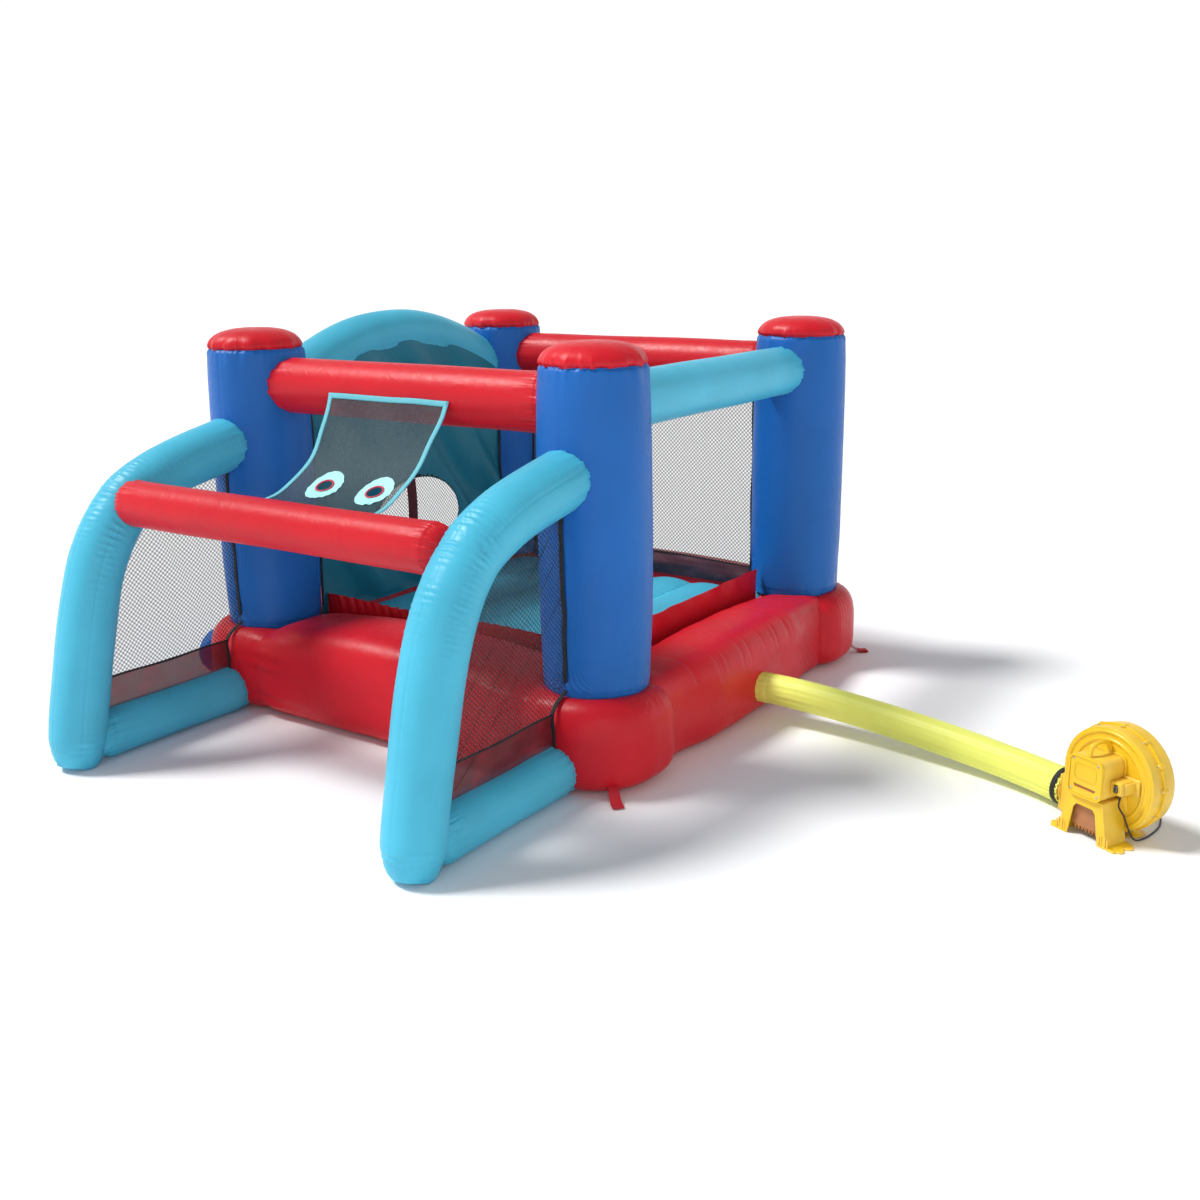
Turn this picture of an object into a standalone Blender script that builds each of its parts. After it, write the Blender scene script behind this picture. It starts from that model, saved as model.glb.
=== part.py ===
"""Inflatable bounce house with a front net bay, an air sleeve and an electric blower.

Frame: +Z up, X across the front, front towards -Y. The origin lies on the ground, at the
centre of the bounce floor's underside. Metres throughout.
"""

import math

import bmesh
import bpy
from mathutils import Matrix, Vector

# ---- driving dimensions -------------------------------------------------------------
COL_X, COL_Y = 0.982, 0.965        # column axes, each side of the origin
COL_R = 0.238                      # column radius at its fullest
BASE_TOP = 0.42                    # height of the base tubes under the columns
CAP_SEAM, CAP_TOP = 1.750, 1.845   # seam between column and cap, and the cap's crown
FLOOR_TOP = 0.370                  # top of the bounce floor
RING_OUT = 0.325                   # base tubes reach this far outside the column axes
WALL = 0.0020                      # coated fabric with its seams
SHEET = 0.0030                     # flat sewn panels
GAP = 0.0006                       # clearance left at every seam
BEAM_Z, BEAM_R, BEAM_SIDE_R = 1.580, 0.130, 0.122
ARCH_PEAK, ARCH_SAG, ARCH_R = 1.760, 0.37, 0.125
BAY_R, GROUND_R = 0.124, 0.110     # side arch tubes and the tubes on the ground
CROSS_Y, CROSS_Z, CROSS_R = -1.820, 1.140, 0.100
PANEL_X = 0.866                    # inner wall panels stand this far from the middle
REAR_Y = 0.930                     # rear net and its hem
BLOWER_AT, BLOWER_TURN = (3.000, -0.385, 0.0), -0.46
VOL_R, VOL_Z, VOL_HALF = 0.205, 0.220, 0.060
CORD_D = 0.007

COLOURS = {
    "red": (0.72, 0.02, 0.03, 0.42, 0), "blue": (0.01, 0.11, 0.45, 0.42, 0),
    "cyan": (0.05, 0.51, 0.73, 0.42, 0), "teal": (0.02, 0.20, 0.27, 0.5, 0),
    "net": (0.05, 0.05, 0.06, 0.8, 0), "hem": (0.22, 0.01, 0.02, 0.6, 0),
    "target": (0.45, 0.85, 0.85, 0.6, 0), "sleeve": (0.83, 0.87, 0.16, 0.5, 0),
    "shell": (0.92, 0.58, 0.03, 0.35, 0), "inner": (0.45, 0.15, 0.03, 0.5, 0),
    "black": (0.015, 0.015, 0.016, 0.5, 0), "steel": (0.55, 0.55, 0.57, 0.3, 1),
}

for leftover in list(bpy.data.objects):
    bpy.data.objects.remove(leftover, do_unlink=True)
parts = bpy.data.collections.new("bounce_house")
tools = bpy.data.collections.new("cutters")
bpy.context.scene.collection.children.link(parts)
bpy.context.scene.collection.children.link(tools)

materials = {}
for name, (r, g, b, rough, metal) in COLOURS.items():
    m = bpy.data.materials.new(name)
    m.use_nodes = True
    shader = m.node_tree.nodes["Principled BSDF"]
    shader.inputs["Base Color"].default_value = (r, g, b, 1)
    shader.inputs["Roughness"].default_value = rough
    shader.inputs["Metallic"].default_value = metal
    m.diffuse_color = (r, g, b, 1)
    materials[name] = m

blower = bpy.data.objects.new("blower_frame", None)
blower.location, blower.rotation_euler = BLOWER_AT, (0, 0, BLOWER_TURN)
parts.objects.link(blower)
bpy.context.view_layer.update()


# ---- helpers ------------------------------------------------------------------------
def add(name, bm, colour=None, parent=None, at=(0, 0, 0)):
    """Makes an object from a bmesh: a part with a colour, or a cutter without one."""
    me = bpy.data.meshes.new(name)
    bmesh.ops.recalc_face_normals(bm, faces=bm.faces[:])
    bm.to_mesh(me)
    bm.free()
    ob = bpy.data.objects.new(name, me)
    ob.location = at
    if parent:
        ob.parent = parent
    if colour:
        me.materials.append(materials[colour])
        me.shade_smooth()
        me.set_sharp_from_angle(angle=math.radians(35))
        parts.objects.link(ob)
    else:
        ob.hide_render, ob.display_type = True, "WIRE"
        tools.objects.link(ob)
    return ob


def cut(ob, cutter, operation="DIFFERENCE"):
    mod = ob.modifiers.new("cut_" + cutter.name, "BOOLEAN")
    mod.operation, mod.solver, mod.object = operation, "EXACT", cutter
    return ob


def skin(ob, thickness=WALL):
    """Gives an open surface its fabric or plastic thickness, inwards."""
    mod = ob.modifiers.new("skin", "SOLIDIFY")
    mod.thickness, mod.offset, mod.use_even_offset = thickness, -1, True
    return ob


def turned(profile, segments=20):
    """Surface of revolution about Z, from (radius, height) pairs listed top to bottom."""
    bm = bmesh.new()
    rings = []
    for r, z in profile:
        if r < 1e-6:
            rings.append([bm.verts.new((0, 0, z))])
            continue
        turn = [2 * math.pi * i / segments for i in range(segments)]
        rings.append([bm.verts.new((r * math.cos(t), r * math.sin(t), z)) for t in turn])
    for a, b in zip(rings, rings[1:]):
        for i in range(segments):
            j = (i + 1) % segments
            loop = [a[i % len(a)], b[i % len(b)], b[j % len(b)], a[j % len(a)]]
            bm.faces.new(list(dict.fromkeys(loop)))
    return bm


def closed_turned(profile, segments=20):
    bm = turned(profile, segments)
    bmesh.ops.holes_fill(bm, edges=[e for e in bm.edges if e.is_boundary], sides=0)
    return bm


def prism(outline, low, high, axis="Z"):
    """Extrudes a flat outline from low to high along an axis."""
    place = {
        "Z": lambda p, h: (p[0], p[1], h),
        "X": lambda p, h: (h, p[0], p[1]),
        "Y": lambda p, h: (p[0], h, p[1]),
    }[axis]
    bm = bmesh.new()
    ends = [[bm.verts.new(place(p, h)) for p in outline] for h in (low, high)]
    bm.faces.new(ends[0])
    bm.faces.new(ends[1][::-1])
    for i in range(len(outline)):
        j = (i + 1) % len(outline)
        bm.faces.new((ends[0][i], ends[1][i], ends[1][j], ends[0][j]))
    return bm


def box(x0, x1, y0, y1, z0, z1, bevel=0.0, segments=2):
    bm = prism([(x0, y0), (x1, y0), (x1, y1), (x0, y1)], z0, z1)
    if bevel:
        bmesh.ops.recalc_face_normals(bm, faces=bm.faces[:])
        bmesh.ops.bevel(bm, geom=bm.edges[:], offset=bevel, segments=segments,
                        profile=0.5, affect="EDGES")
    return bm


def corner(cx, cy, r, start, steps=5):
    """Quarter arc of an outline, turning left from the start angle in degrees."""
    turn = [math.radians(start + 90 * i / steps) for i in range(steps + 1)]
    return [(cx + r * math.cos(t), cy + r * math.sin(t)) for t in turn]


def smooth(points, count):
    """Catmull-Rom curve through the points, with evenly numbered samples."""
    p = [Vector(q) for q in points]
    p = [2 * p[0] - p[1]] + p + [2 * p[-1] - p[-2]]
    out = []
    for k in range(count + 1):
        u = (len(p) - 3) * k / count
        i = min(int(u), len(p) - 4)
        t = u - i
        a, b, c, d = p[i:i + 4]
        out.append(0.5 * (2 * b + (c - a) * t + (2 * a - 5 * b + 4 * c - d) * t * t
                          + (3 * b - a - 3 * c + d) * t ** 3))
    return out


def tube(name, points, radius, colour=None, parent=None, resolution=3, caps=True, radii=None):
    """A bevelled poly curve, turned into a welded mesh so that it can be cut."""
    cu = bpy.data.curves.new(name, "CURVE")
    cu.dimensions, cu.bevel_depth, cu.bevel_resolution = "3D", radius, resolution
    cu.use_fill_caps = caps
    sp = cu.splines.new("POLY")
    sp.points.add(len(points) - 1)
    for i, p in enumerate(points):
        sp.points[i].co = (*p, 1)
        sp.points[i].radius = radii[i] if radii else 1.0
    ob = bpy.data.objects.new(name + "_curve", cu)
    bpy.context.scene.collection.objects.link(ob)
    bpy.context.view_layer.update()
    me = bpy.data.meshes.new_from_object(ob.evaluated_get(bpy.context.evaluated_depsgraph_get()))
    bpy.data.objects.remove(ob)
    bm = bmesh.new()
    bm.from_mesh(me)
    bmesh.ops.remove_doubles(bm, verts=bm.verts, dist=1e-5)
    return add(name, bm, colour, parent)


def wrapped(name, outline, profile, n0, n1, colour):
    """A flat (x, s) outline laid along a (y, z) profile, between heights n0 and n1 above it."""
    lengths = [0.0]
    for a, b in zip(profile, profile[1:]):
        lengths.append(lengths[-1] + (b - a).length)
    bm = prism(outline, n0, n1)
    for s in lengths[1:-1]:
        bmesh.ops.bisect_plane(bm, geom=bm.verts[:] + bm.edges[:] + bm.faces[:],
                               plane_co=(0, s, 0), plane_no=(0, 1, 0), dist=1e-6)
    for v in bm.verts:
        s = min(max(v.co.y, 0.0), lengths[-1] - 1e-9)
        i = max(k for k in range(len(lengths) - 1) if lengths[k] <= s)
        t = (s - lengths[i]) / (lengths[i + 1] - lengths[i])
        here = profile[i].lerp(profile[i + 1], t)

        def normal(k):
            a, b = profile[max(k - 1, 0)], profile[min(k + 1, len(profile) - 1)]
            d = (b - a).normalized()
            return Vector((d.y, -d.x)) if d.x < 0 else Vector((-d.y, d.x))

        up = normal(i).lerp(normal(i + 1), t).normalized()
        if up.y < 0:
            up = -up
        v.co = Vector((v.co.x, here.x + up.x * v.co.z, here.y + up.y * v.co.z))
    return add(name, bm, colour)


# ---- columns and caps ---------------------------------------------------------------
column_profile = [(0.222, CAP_SEAM - GAP / 2), (0.230, 1.68), (0.2365, 1.45),
                  (COL_R, 1.05), (0.2365, 0.70), (0.229, 0.50), (0.216, BASE_TOP + GAP)]
cap_profile = [(0.0, CAP_TOP), (0.090, 1.839), (0.160, 1.822), (0.205, 1.795),
               (0.225, 1.770), (0.222, CAP_SEAM + GAP / 2)]
COLUMNS = {"front_left": (-COL_X, -COL_Y), "front_right": (COL_X, -COL_Y),
           "rear_left": (-COL_X, COL_Y), "rear_right": (COL_X, COL_Y)}
column_cutters = {}
for where, (x, y) in COLUMNS.items():
    skin(add("column_" + where, turned(column_profile), "blue", at=(x, y, 0)))
    skin(add("cap_" + where, turned(cap_profile), "red", at=(x, y, 0)))
    grown = [(r + GAP, z) for r, z in column_profile]
    column_cutters[where] = add("round_" + where, closed_turned(grown), at=(x, y, 0))


# ---- base: four tubes in a ring round the bounce floor ------------------------------
def base_piece(name, outline, bump, along, passages):
    """A pillow: rounded top and bottom edges, a swell between columns, open air passages."""
    bm = prism(outline, 0.0, BASE_TOP)
    bmesh.ops.recalc_face_normals(bm, faces=bm.faces[:])
    for z, size, steps in ((BASE_TOP, 0.090, 3), (0.0, 0.045, 2)):
        rim = [e for e in bm.edges if all(abs(v.co.z - z) < 1e-6 for v in e.verts)]
        bmesh.ops.bevel(bm, geom=rim, offset=size, segments=steps, profile=0.5,
                        affect="EDGES", clamp_overlap=False)
    axis = 0 if along == "X" else 1
    for at in (-0.70, -0.46, -0.20, 0.20, 0.46, 0.70):
        co, no = [0, 0, 0], [0, 0, 0]
        co[axis], no[axis] = at, 1
        bmesh.ops.bisect_plane(bm, geom=bm.verts[:] + bm.edges[:] + bm.faces[:],
                               plane_co=co, plane_no=no, dist=1e-6)
    for v in bm.verts:
        if v.co.z > 0.25:
            swell = max(0.0, 1 - (v.co[axis] / 0.70) ** 2)
            v.co.z += bump * swell * (v.co.z - 0.25) / (BASE_TOP - 0.25)
    bm.faces.ensure_lookup_table()
    bmesh.ops.recalc_face_normals(bm, faces=bm.faces[:])
    opened = []
    for direction, (u0, u1) in passages:
        want = Vector(direction)
        for f in bm.faces:
            c = f.calc_center_median()
            if f.normal.dot(want) > 0.98 and 0.05 < c.z < 0.40 and u0 < c[axis] < u1:
                opened.append(f)
    bmesh.ops.delete(bm, geom=list(set(opened)), context="FACES_ONLY")
    loose = [e for e in bm.edges if not e.link_faces]
    bmesh.ops.delete(bm, geom=loose, context="EDGES")
    return skin(add(name, bm, "red"))


X1, Y1 = COL_X + RING_OUT, COL_Y + RING_OUT
X0, Y0 = COL_X - 0.225, COL_Y - 0.225     # inner corners, under the columns
SIDE_IN, SIDE_OUT = 0.872, 1.285
front_outline = ([(X1, -Y0)] + [(-X1, -Y0)] + corner(-X1 + 0.30, -Y1 + 0.30, 0.30, 180)
                 + corner(X1 - 0.30, -Y1 + 0.30, 0.30, 270))
base_piece("base_front", front_outline, 0.065, "X", [((0, 1, 0), (-0.1, 0.1))])
rear_outline = (corner(X1 - 0.30, Y1 - 0.30, 0.30, 0) + corner(-X1 + 0.30, Y1 - 0.30, 0.30, 90)
                + [(-X1, Y0), (-X0, Y0), (-X0, REAR_Y + 0.005), (X0, REAR_Y + 0.005), (X0, Y0),
                   (X1, Y0)])
base_piece("base_rear", rear_outline, 0.030, "X", [((0, -1, 0), (-0.1, 0.1))])
for name, s in (("base_left", -1), ("base_right", 1)):
    ends = [(SIDE_IN * s, -Y0 + GAP), (SIDE_OUT * s, -Y0 + GAP),
            (SIDE_OUT * s, Y0 - GAP), (SIDE_IN * s, Y0 - GAP)]
    base_piece(name, ends, 0.030, "Y", [((-s, 0, 0), (-0.1, 0.1))])

# ---- bounce floor: one flat chamber between the base tubes ---------------------------
FX, FY0, FY1 = SIDE_IN - GAP, -Y0 + GAP, REAR_Y + 0.005 - GAP
NX, NY = X0 - GAP, Y0 - GAP
floor_outline = [(-FX, FY0), (FX, FY0), (FX, NY), (NX, NY), (NX, FY1), (-NX, FY1), (-NX, NY),
                 (-FX, NY)]
bm = prism(floor_outline, 0.0, FLOOR_TOP)
bmesh.ops.recalc_face_normals(bm, faces=bm.faces[:])
rim = [e for e in bm.edges if all(abs(v.co.z - FLOOR_TOP) < 1e-6 for v in e.verts)]
bmesh.ops.bevel(bm, geom=rim, offset=0.025, segments=2, profile=0.5, affect="EDGES")
bm.faces.ensure_lookup_table()
ports = [f for f in bm.faces if abs(f.normal.y + 1) < 0.01 and f.calc_center_median().z < 0.3]
bmesh.ops.delete(bm, geom=ports, context="FACES_ONLY")
skin(add("bounce_floor", bm, "cyan"))

# a low bolster lies along the outside of the left base tube
bolster = [(0.0, -1.075), (0.060, -1.070), (0.100, -1.050), (0.122, -1.015), (0.130, -0.96),
           (0.130, 0.96), (0.122, 1.015), (0.100, 1.050), (0.060, 1.070), (0.0, 1.075)]
bm = turned([(r, -z) for r, z in bolster], 16)
bmesh.ops.delete(bm, geom=[f for f in bm.faces if f.calc_center_median().z > 1.06],
                 context="FACES_ONLY")
bmesh.ops.delete(bm, geom=[v for v in bm.verts if not v.link_faces], context="VERTS")
bmesh.ops.rotate(bm, verts=bm.verts, matrix=Matrix.Rotation(-math.pi / 2, 3, "X"))
skin(add("bolster_left", bm, "blue", at=(-SIDE_OUT - 0.162, 0, 0.1300)))

# ---- roof beams, saddle-cut to the columns -------------------------------------------
def beam(name, a, b, radius, colour, cutters, segments=20):
    a, b = Vector(a), Vector(b)
    bm = bmesh.new()
    bmesh.ops.create_cone(bm, cap_ends=True, segments=segments, radius1=radius, radius2=radius,
                          depth=(b - a).length)
    turn = (b - a).to_track_quat("Z", "Y").to_matrix().to_4x4()
    bmesh.ops.transform(bm, verts=bm.verts, matrix=Matrix.Translation((a + b) / 2) @ turn)
    ob = add(name, bm, colour)
    core = bmesh.new()
    bmesh.ops.create_cone(core, cap_ends=True, segments=segments, radius1=radius - WALL,
                          radius2=radius - WALL, depth=(b - a).length + 0.1)
    bmesh.ops.transform(core, verts=core.verts, matrix=Matrix.Translation((a + b) / 2) @ turn)
    cut(ob, add("core_" + name, core))
    for c in cutters:
        cut(ob, c)
    return ob


C = column_cutters
beam("beam_front", (-COL_X, -COL_Y, BEAM_Z), (COL_X, -COL_Y, BEAM_Z), BEAM_R, "red",
     [C["front_left"], C["front_right"]])
beam("beam_rear", (-COL_X, COL_Y, BEAM_Z), (COL_X, COL_Y, BEAM_Z), BEAM_R, "red",
     [C["rear_left"], C["rear_right"]])
beam("beam_right", (COL_X, -COL_Y, BEAM_Z), (COL_X, COL_Y, BEAM_Z), BEAM_SIDE_R, "cyan",
     [C["front_right"], C["rear_right"]])


def hollow_tube(name, points, radius, colour, cutters, resolution=3, radii=None, open_end=False):
    """A bent fabric tube: an outer curve with an inner one cut out of it."""
    ob = tube(name, points, radius, colour, None, resolution, True, radii)
    inner = list(points) if not open_end else list(points[:-3])
    first = 2 * Vector(inner[0]) - Vector(inner[1])
    inner = [first] + inner
    if not open_end:
        inner.append(2 * Vector(points[-1]) - Vector(points[-2]))
    cut(ob, tube("core_" + name, inner, radius - WALL, None, None, resolution))
    for c in cutters:
        cut(ob, c)
    return ob


def arch_z(y):
    return ARCH_PEAK - ARCH_SAG * y * y


arch_points = [(-COL_X, y, arch_z(y)) for y in [-COL_Y + 2 * COL_Y * i / 12 for i in range(13)]]
hollow_tube("arch_beam_left", arch_points, ARCH_R, "cyan", [C["front_left"], C["rear_left"]])

# ---- front bay: side arches, ground tubes and the bar across them --------------------
BAY_LINE = [(-0.97, 1.357), (-1.195, 1.31), (-1.465, 1.255), (-1.625, 1.205), (-1.765, 1.135),
            (-1.865, 1.035), (-1.935, 0.93), (-1.985, 0.82), (-2.030, 0.68), (-2.068, 0.53),
            (-2.103, 0.38), (-2.133, 0.24), (-2.152, 0.13)]
bay_curve = smooth([Vector((y, z)) for y, z in BAY_LINE], 18)
foot = [(-2.160, 0.075), (-2.163, 0.035), (-2.164, 0.012), (-2.164, 0.0)]
bay_2d = [tuple(p) for p in bay_curve] + foot
bay_radii = [1.0] * len(bay_curve) + [0.985, 0.90, 0.76, 0.60]
bay_cutters = {}
base_front = bpy.data.objects["base_front"]
front_grown = [(x * (1 + GAP / X1), y - GAP * (1 if y < -1 else -1)) for x, y in front_outline]
front_block = add("front_block", prism(front_grown, -0.1, 0.6))
for side, s in (("left", -1), ("right", 1)):
    line = [(s * COL_X, y, z) for y, z in bay_2d]
    hollow_tube("side_arch_" + side, line, BAY_R, "cyan", [C["front_" + side]],
                radii=bay_radii, open_end=True)
    grown = tube("grown_arch_" + side, line, BAY_R + GAP, radii=bay_radii)
    bay_cutters[side] = grown
    beam("ground_tube_" + side, (s * COL_X, -2.13, GROUND_R), (s * COL_X, -1.10, GROUND_R),
         GROUND_R, "cyan", [grown, front_block])
bar_end = COL_X - 0.075
beam("crossbar_front", (-bar_end, CROSS_Y, CROSS_Z), (bar_end, CROSS_Y, CROSS_Z), CROSS_R, "red",
     [bay_cutters["left"], bay_cutters["right"]])


# ---- wall panels ---------------------------------------------------------------------
def chord(offset):
    """Half-width of a column at a plane this far from its axis."""
    return math.sqrt((COL_R + 0.0015) ** 2 - offset ** 2)


edge_y = COL_Y - chord(COL_X - PANEL_X)
drop = math.sqrt(ARCH_R ** 2 - (COL_X - PANEL_X) ** 2) + 0.006
top = []
for i in range(17):
    y = edge_y - 2 * edge_y * i / 16
    slope = math.atan(2 * ARCH_SAG * abs(y))
    top.append((y, arch_z(y) - drop / math.cos(slope)))
inner_y = Y0 - 0.003
panel_outline = [(-edge_y, BASE_TOP + 0.004), (-inner_y, BASE_TOP + 0.004),
                 (-inner_y, FLOOR_TOP + GAP), (inner_y, FLOOR_TOP + GAP),
                 (inner_y, BASE_TOP + 0.004), (edge_y, BASE_TOP + 0.004)] + top
panel = add("wall_panel_left", prism(panel_outline, -PANEL_X - SHEET / 2, -PANEL_X + SHEET / 2, "X"),
            "teal")


def window_outline(grow, steps=24):
    turn = [2 * math.pi * i / steps for i in range(steps)]
    return [(0.350 * math.cos(t) + grow * math.cos(t) + 0.01,
             0.745 + (0.235 if math.sin(t) > 0 else 0.160) * math.sin(t) + grow * math.sin(t))
            for t in turn]


cut(panel, add("window_cut", prism(window_outline(0.0), -PANEL_X - 0.05, -PANEL_X + 0.05, "X")))
win_x = -PANEL_X + SHEET / 2 + GAP
add("window_net", prism(window_outline(0.022), win_x, win_x + WALL, "X"), "net")


def inside_bay(offset, low, high):
    """Outline under a side arch, between its tube, the ground tube and the column."""
    hem = -COL_Y - COL_R - 0.003
    pts = []
    curve = [Vector(p) for p in bay_2d]
    for a, b, c in zip(curve, curve[1:], curve[2:]):
        d = (c - a).normalized()
        inward = Vector((-d.y, d.x))
        q = b + inward * offset
        if q.x < hem and low < q.y < high:
            pts.append((q.x, q.y))
    return hem, pts


def behind(z):
    """Where a bay panel's back edge lies: on the column, then round the base's top edge."""
    if z > BASE_TOP + 0.003:
        return -COL_Y - COL_R - 0.003
    if z < BASE_TOP - 0.090:
        return -Y1 - 0.003
    return -Y1 + 0.090 - math.sqrt(0.093 ** 2 - (z - BASE_TOP + 0.090) ** 2)


def post_y(z):
    line = inside_bay(BAY_R + 0.003, 0.12, 1.2)[1]
    for (ya, za), (yb, zb) in zip(line, line[1:]):
        if zb <= z <= za:
            return ya + (yb - ya) * (za - z) / (za - zb)
    return line[-1][0]


for side, s in (("left", -1), ("right", 1)):
    split, low, x = 2 * GROUND_R + 0.136, 2 * GROUND_R + 0.003, s * COL_X
    hem, pts = inside_bay(BAY_R + 0.003, split, 1.4)
    (y1, z1), (y2, z2) = pts[0], pts[1]
    start = (hem, z1 + (z1 - z2) / (y1 - y2) * (hem - y1))
    back = [(behind(z), z) for z in (split, 0.385, 0.405, 0.4185, 0.4235)]
    net = [start] + pts + [(post_y(split), split)] + back + [(hem, 0.43)]
    add("side_net_" + side, prism(net, x - SHEET / 2, x + SHEET / 2, "X"), "net")
    edge = split - GAP
    band = [(behind(edge), edge), (post_y(edge), edge), (post_y(low), low), (behind(low), low)]
    add("side_hem_" + side, prism(band, x - SHEET / 2, x + SHEET / 2, "X"), "hem")

rear_x = COL_X - chord(COL_Y - REAR_Y)
rear_top = BEAM_Z - math.sqrt(BEAM_R ** 2 - (COL_Y - REAR_Y) ** 2) - 0.003
rear_low = FLOOR_TOP + GAP
hem_top = rear_low + 0.115
for name, a, b, colour in (("rear_net", hem_top + GAP, rear_top, "net"),
                           ("rear_hem", rear_low, hem_top, "hem")):
    add(name, box(-rear_x, rear_x, REAR_Y - SHEET / 2, REAR_Y + SHEET / 2, a, b), colour)
sill = [(-inner_y, FLOOR_TOP + GAP), (inner_y, FLOOR_TOP + GAP), (inner_y, 0.525),
        (-inner_y, 0.525)]
add("sill_right", prism(sill, PANEL_X - SHEET / 2, PANEL_X + SHEET / 2, "X"), "red")
sill_at = -Y0 + 0.012
top_half = min(PANEL_X - 0.006, COL_X - 0.001 - math.sqrt(max(0.0, COL_R ** 2 - 0.237 ** 2)))
sill = [(-top_half, FLOOR_TOP + GAP), (top_half, FLOOR_TOP + GAP), (top_half, 0.482),
        (-top_half, 0.482)]
add("sill_front", prism(sill, sill_at - SHEET / 2, sill_at + SHEET / 2, "Y"), "red")

# ---- target net between the front beam and the crossbar ------------------------------
NET_X0, NET_X1 = -0.36, 0.32
bar_back = CROSS_Y + math.sqrt(CROSS_R ** 2 - 0.02 ** 2) + 0.004
net_line = smooth([Vector(p) for p in ((-COL_Y - BEAM_R - 0.003, 1.575), (-1.170, 1.445),
                                       (-1.255, 1.335), (-1.360, 1.243), (-1.480, 1.185),
                                       (-1.610, 1.160), (bar_back, 1.160))], 14)
net_len = sum((b - a).length for a, b in zip(net_line, net_line[1:]))
net_flat = [(NET_X0, 0), (NET_X1, 0), (NET_X1, net_len), (NET_X0, net_len)]
target_net = wrapped("target_net", net_flat, net_line, -SHEET / 2, SHEET / 2, "net")
TARGETS = {"left": (-0.125, 0.475), "right": (0.165, 0.475)}
for side, (x, s) in TARGETS.items():
    circle = [(math.cos(2 * math.pi * i / 24), math.sin(2 * math.pi * i / 24)) for i in range(24)]
    ring = [(x + 0.082 * c, s + 0.098 * d) for c, d in circle]
    n0 = SHEET / 2 + GAP
    patch = wrapped("target_ring_" + side, ring, net_line, n0, n0 + WALL, "target")
    lengths = [0.0]
    for a, b in zip(net_line, net_line[1:]):
        lengths.append(lengths[-1] + (b - a).length)
    i = max(k for k in range(len(lengths) - 1) if lengths[k] <= s)
    t = (s - lengths[i]) / (lengths[i + 1] - lengths[i])
    here = net_line[i].lerp(net_line[i + 1], t)
    d = (net_line[i + 1] - net_line[i]).normalized()
    plug = bmesh.new()
    bmesh.ops.create_cone(plug, cap_ends=True, segments=20, radius1=0.036, radius2=0.036,
                          depth=0.16)
    lean = Vector((0, -d.y, d.x)).to_track_quat("Z", "Y").to_matrix().to_4x4()
    bmesh.ops.transform(plug, verts=plug.verts, matrix=lean)
    plug = add("target_hole_" + side, plug, at=(x, here.x, here.y))
    cut(target_net, plug)
    cut(patch, plug)

# ---- anchor loops at the corners ------------------------------------------------------
LOOP_GAP = 0.004
for where, (x, y) in COLUMNS.items():
    sx, sy = math.copysign(1, x), math.copysign(1, y)
    away = math.radians(45 if "front" in where else 40)
    px, py = sx * (X1 - 0.30 + 0.30 * math.cos(away)), sy * (Y1 - 0.30 + 0.30 * math.sin(away))
    loop = [(0.0, 0.004), (0.085, 0.004), (0.092, 0.012), (0.085, 0.020), (0.0, 0.024)]
    inner = [(0.0, 0.0205), (0.080, 0.0165), (0.0865, 0.012), (0.080, 0.0075), (0.0, 0.0075)]
    strap = prism(loop + inner, -0.0225, 0.0225, "Y")
    ob = add("anchor_loop_" + where, strap, "red", at=(px, py, 0.0))
    ob.rotation_euler = (0, 0, math.atan2(sy * math.sin(away), sx * math.cos(away)))
    ob.location.x += LOOP_GAP * sx * math.cos(away)
    ob.location.y += LOOP_GAP * sy * math.sin(away)
    bpy.context.view_layer.update()
    side = -1 if "rear" in where else 1
    block = prism([(x, y * side) for x, y in front_grown], -0.1, 0.6)
    cut(ob, add("base_block_" + where, block))

# ---- blower, modelled in its own frame: outlet towards -x, motor towards -y -----------
duct_low, duct_high, duct_end = VOL_Z - VOL_R, VOL_Z - VOL_R + 0.150, -0.210


def snail(inset):
    """Outline of the fan casing: a circle with a straight duct leaving its foot."""
    r = VOL_R - inset
    rise = math.asin((VOL_Z - (duct_high - inset)) / r)
    first, last = math.radians(-90), math.radians(180) + rise
    turn = [first + (last - first) * i / 30 for i in range(31)]
    pts = [(r * math.cos(t), VOL_Z + r * math.sin(t)) for t in turn]
    return pts + [(duct_end, duct_high - inset), (duct_end, duct_low + inset)]


def casing(name, near, far, hole, colour="shell"):
    """Half of the fan casing: a cup open at the split, with an opening in its face."""
    lo, hi = min(near, far), max(near, far)
    ob = add(name, prism(snail(0.0), lo, hi, "Y"), colour, blower)
    s = 1 if far > near else -1
    a, b = sorted((near - s * 0.02, far - s * 0.0035))
    pocket = snail(0.0035)
    pocket = pocket[:-2] + [(duct_end - 0.05, duct_high - 0.0035),
                            (duct_end - 0.05, duct_low + 0.0035)]
    cut(ob, add("pocket_" + name, prism(pocket, a, b, "Y"), parent=blower))
    bore = bmesh.new()
    bmesh.ops.create_cone(bore, cap_ends=True, segments=24, radius1=hole, radius2=hole, depth=0.1)
    bmesh.ops.rotate(bore, verts=bore.verts, matrix=Matrix.Rotation(math.pi / 2, 3, "X"))
    cut(ob, add("bore_" + name, bore, parent=blower, at=(0, far, VOL_Z)))
    return ob


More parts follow.
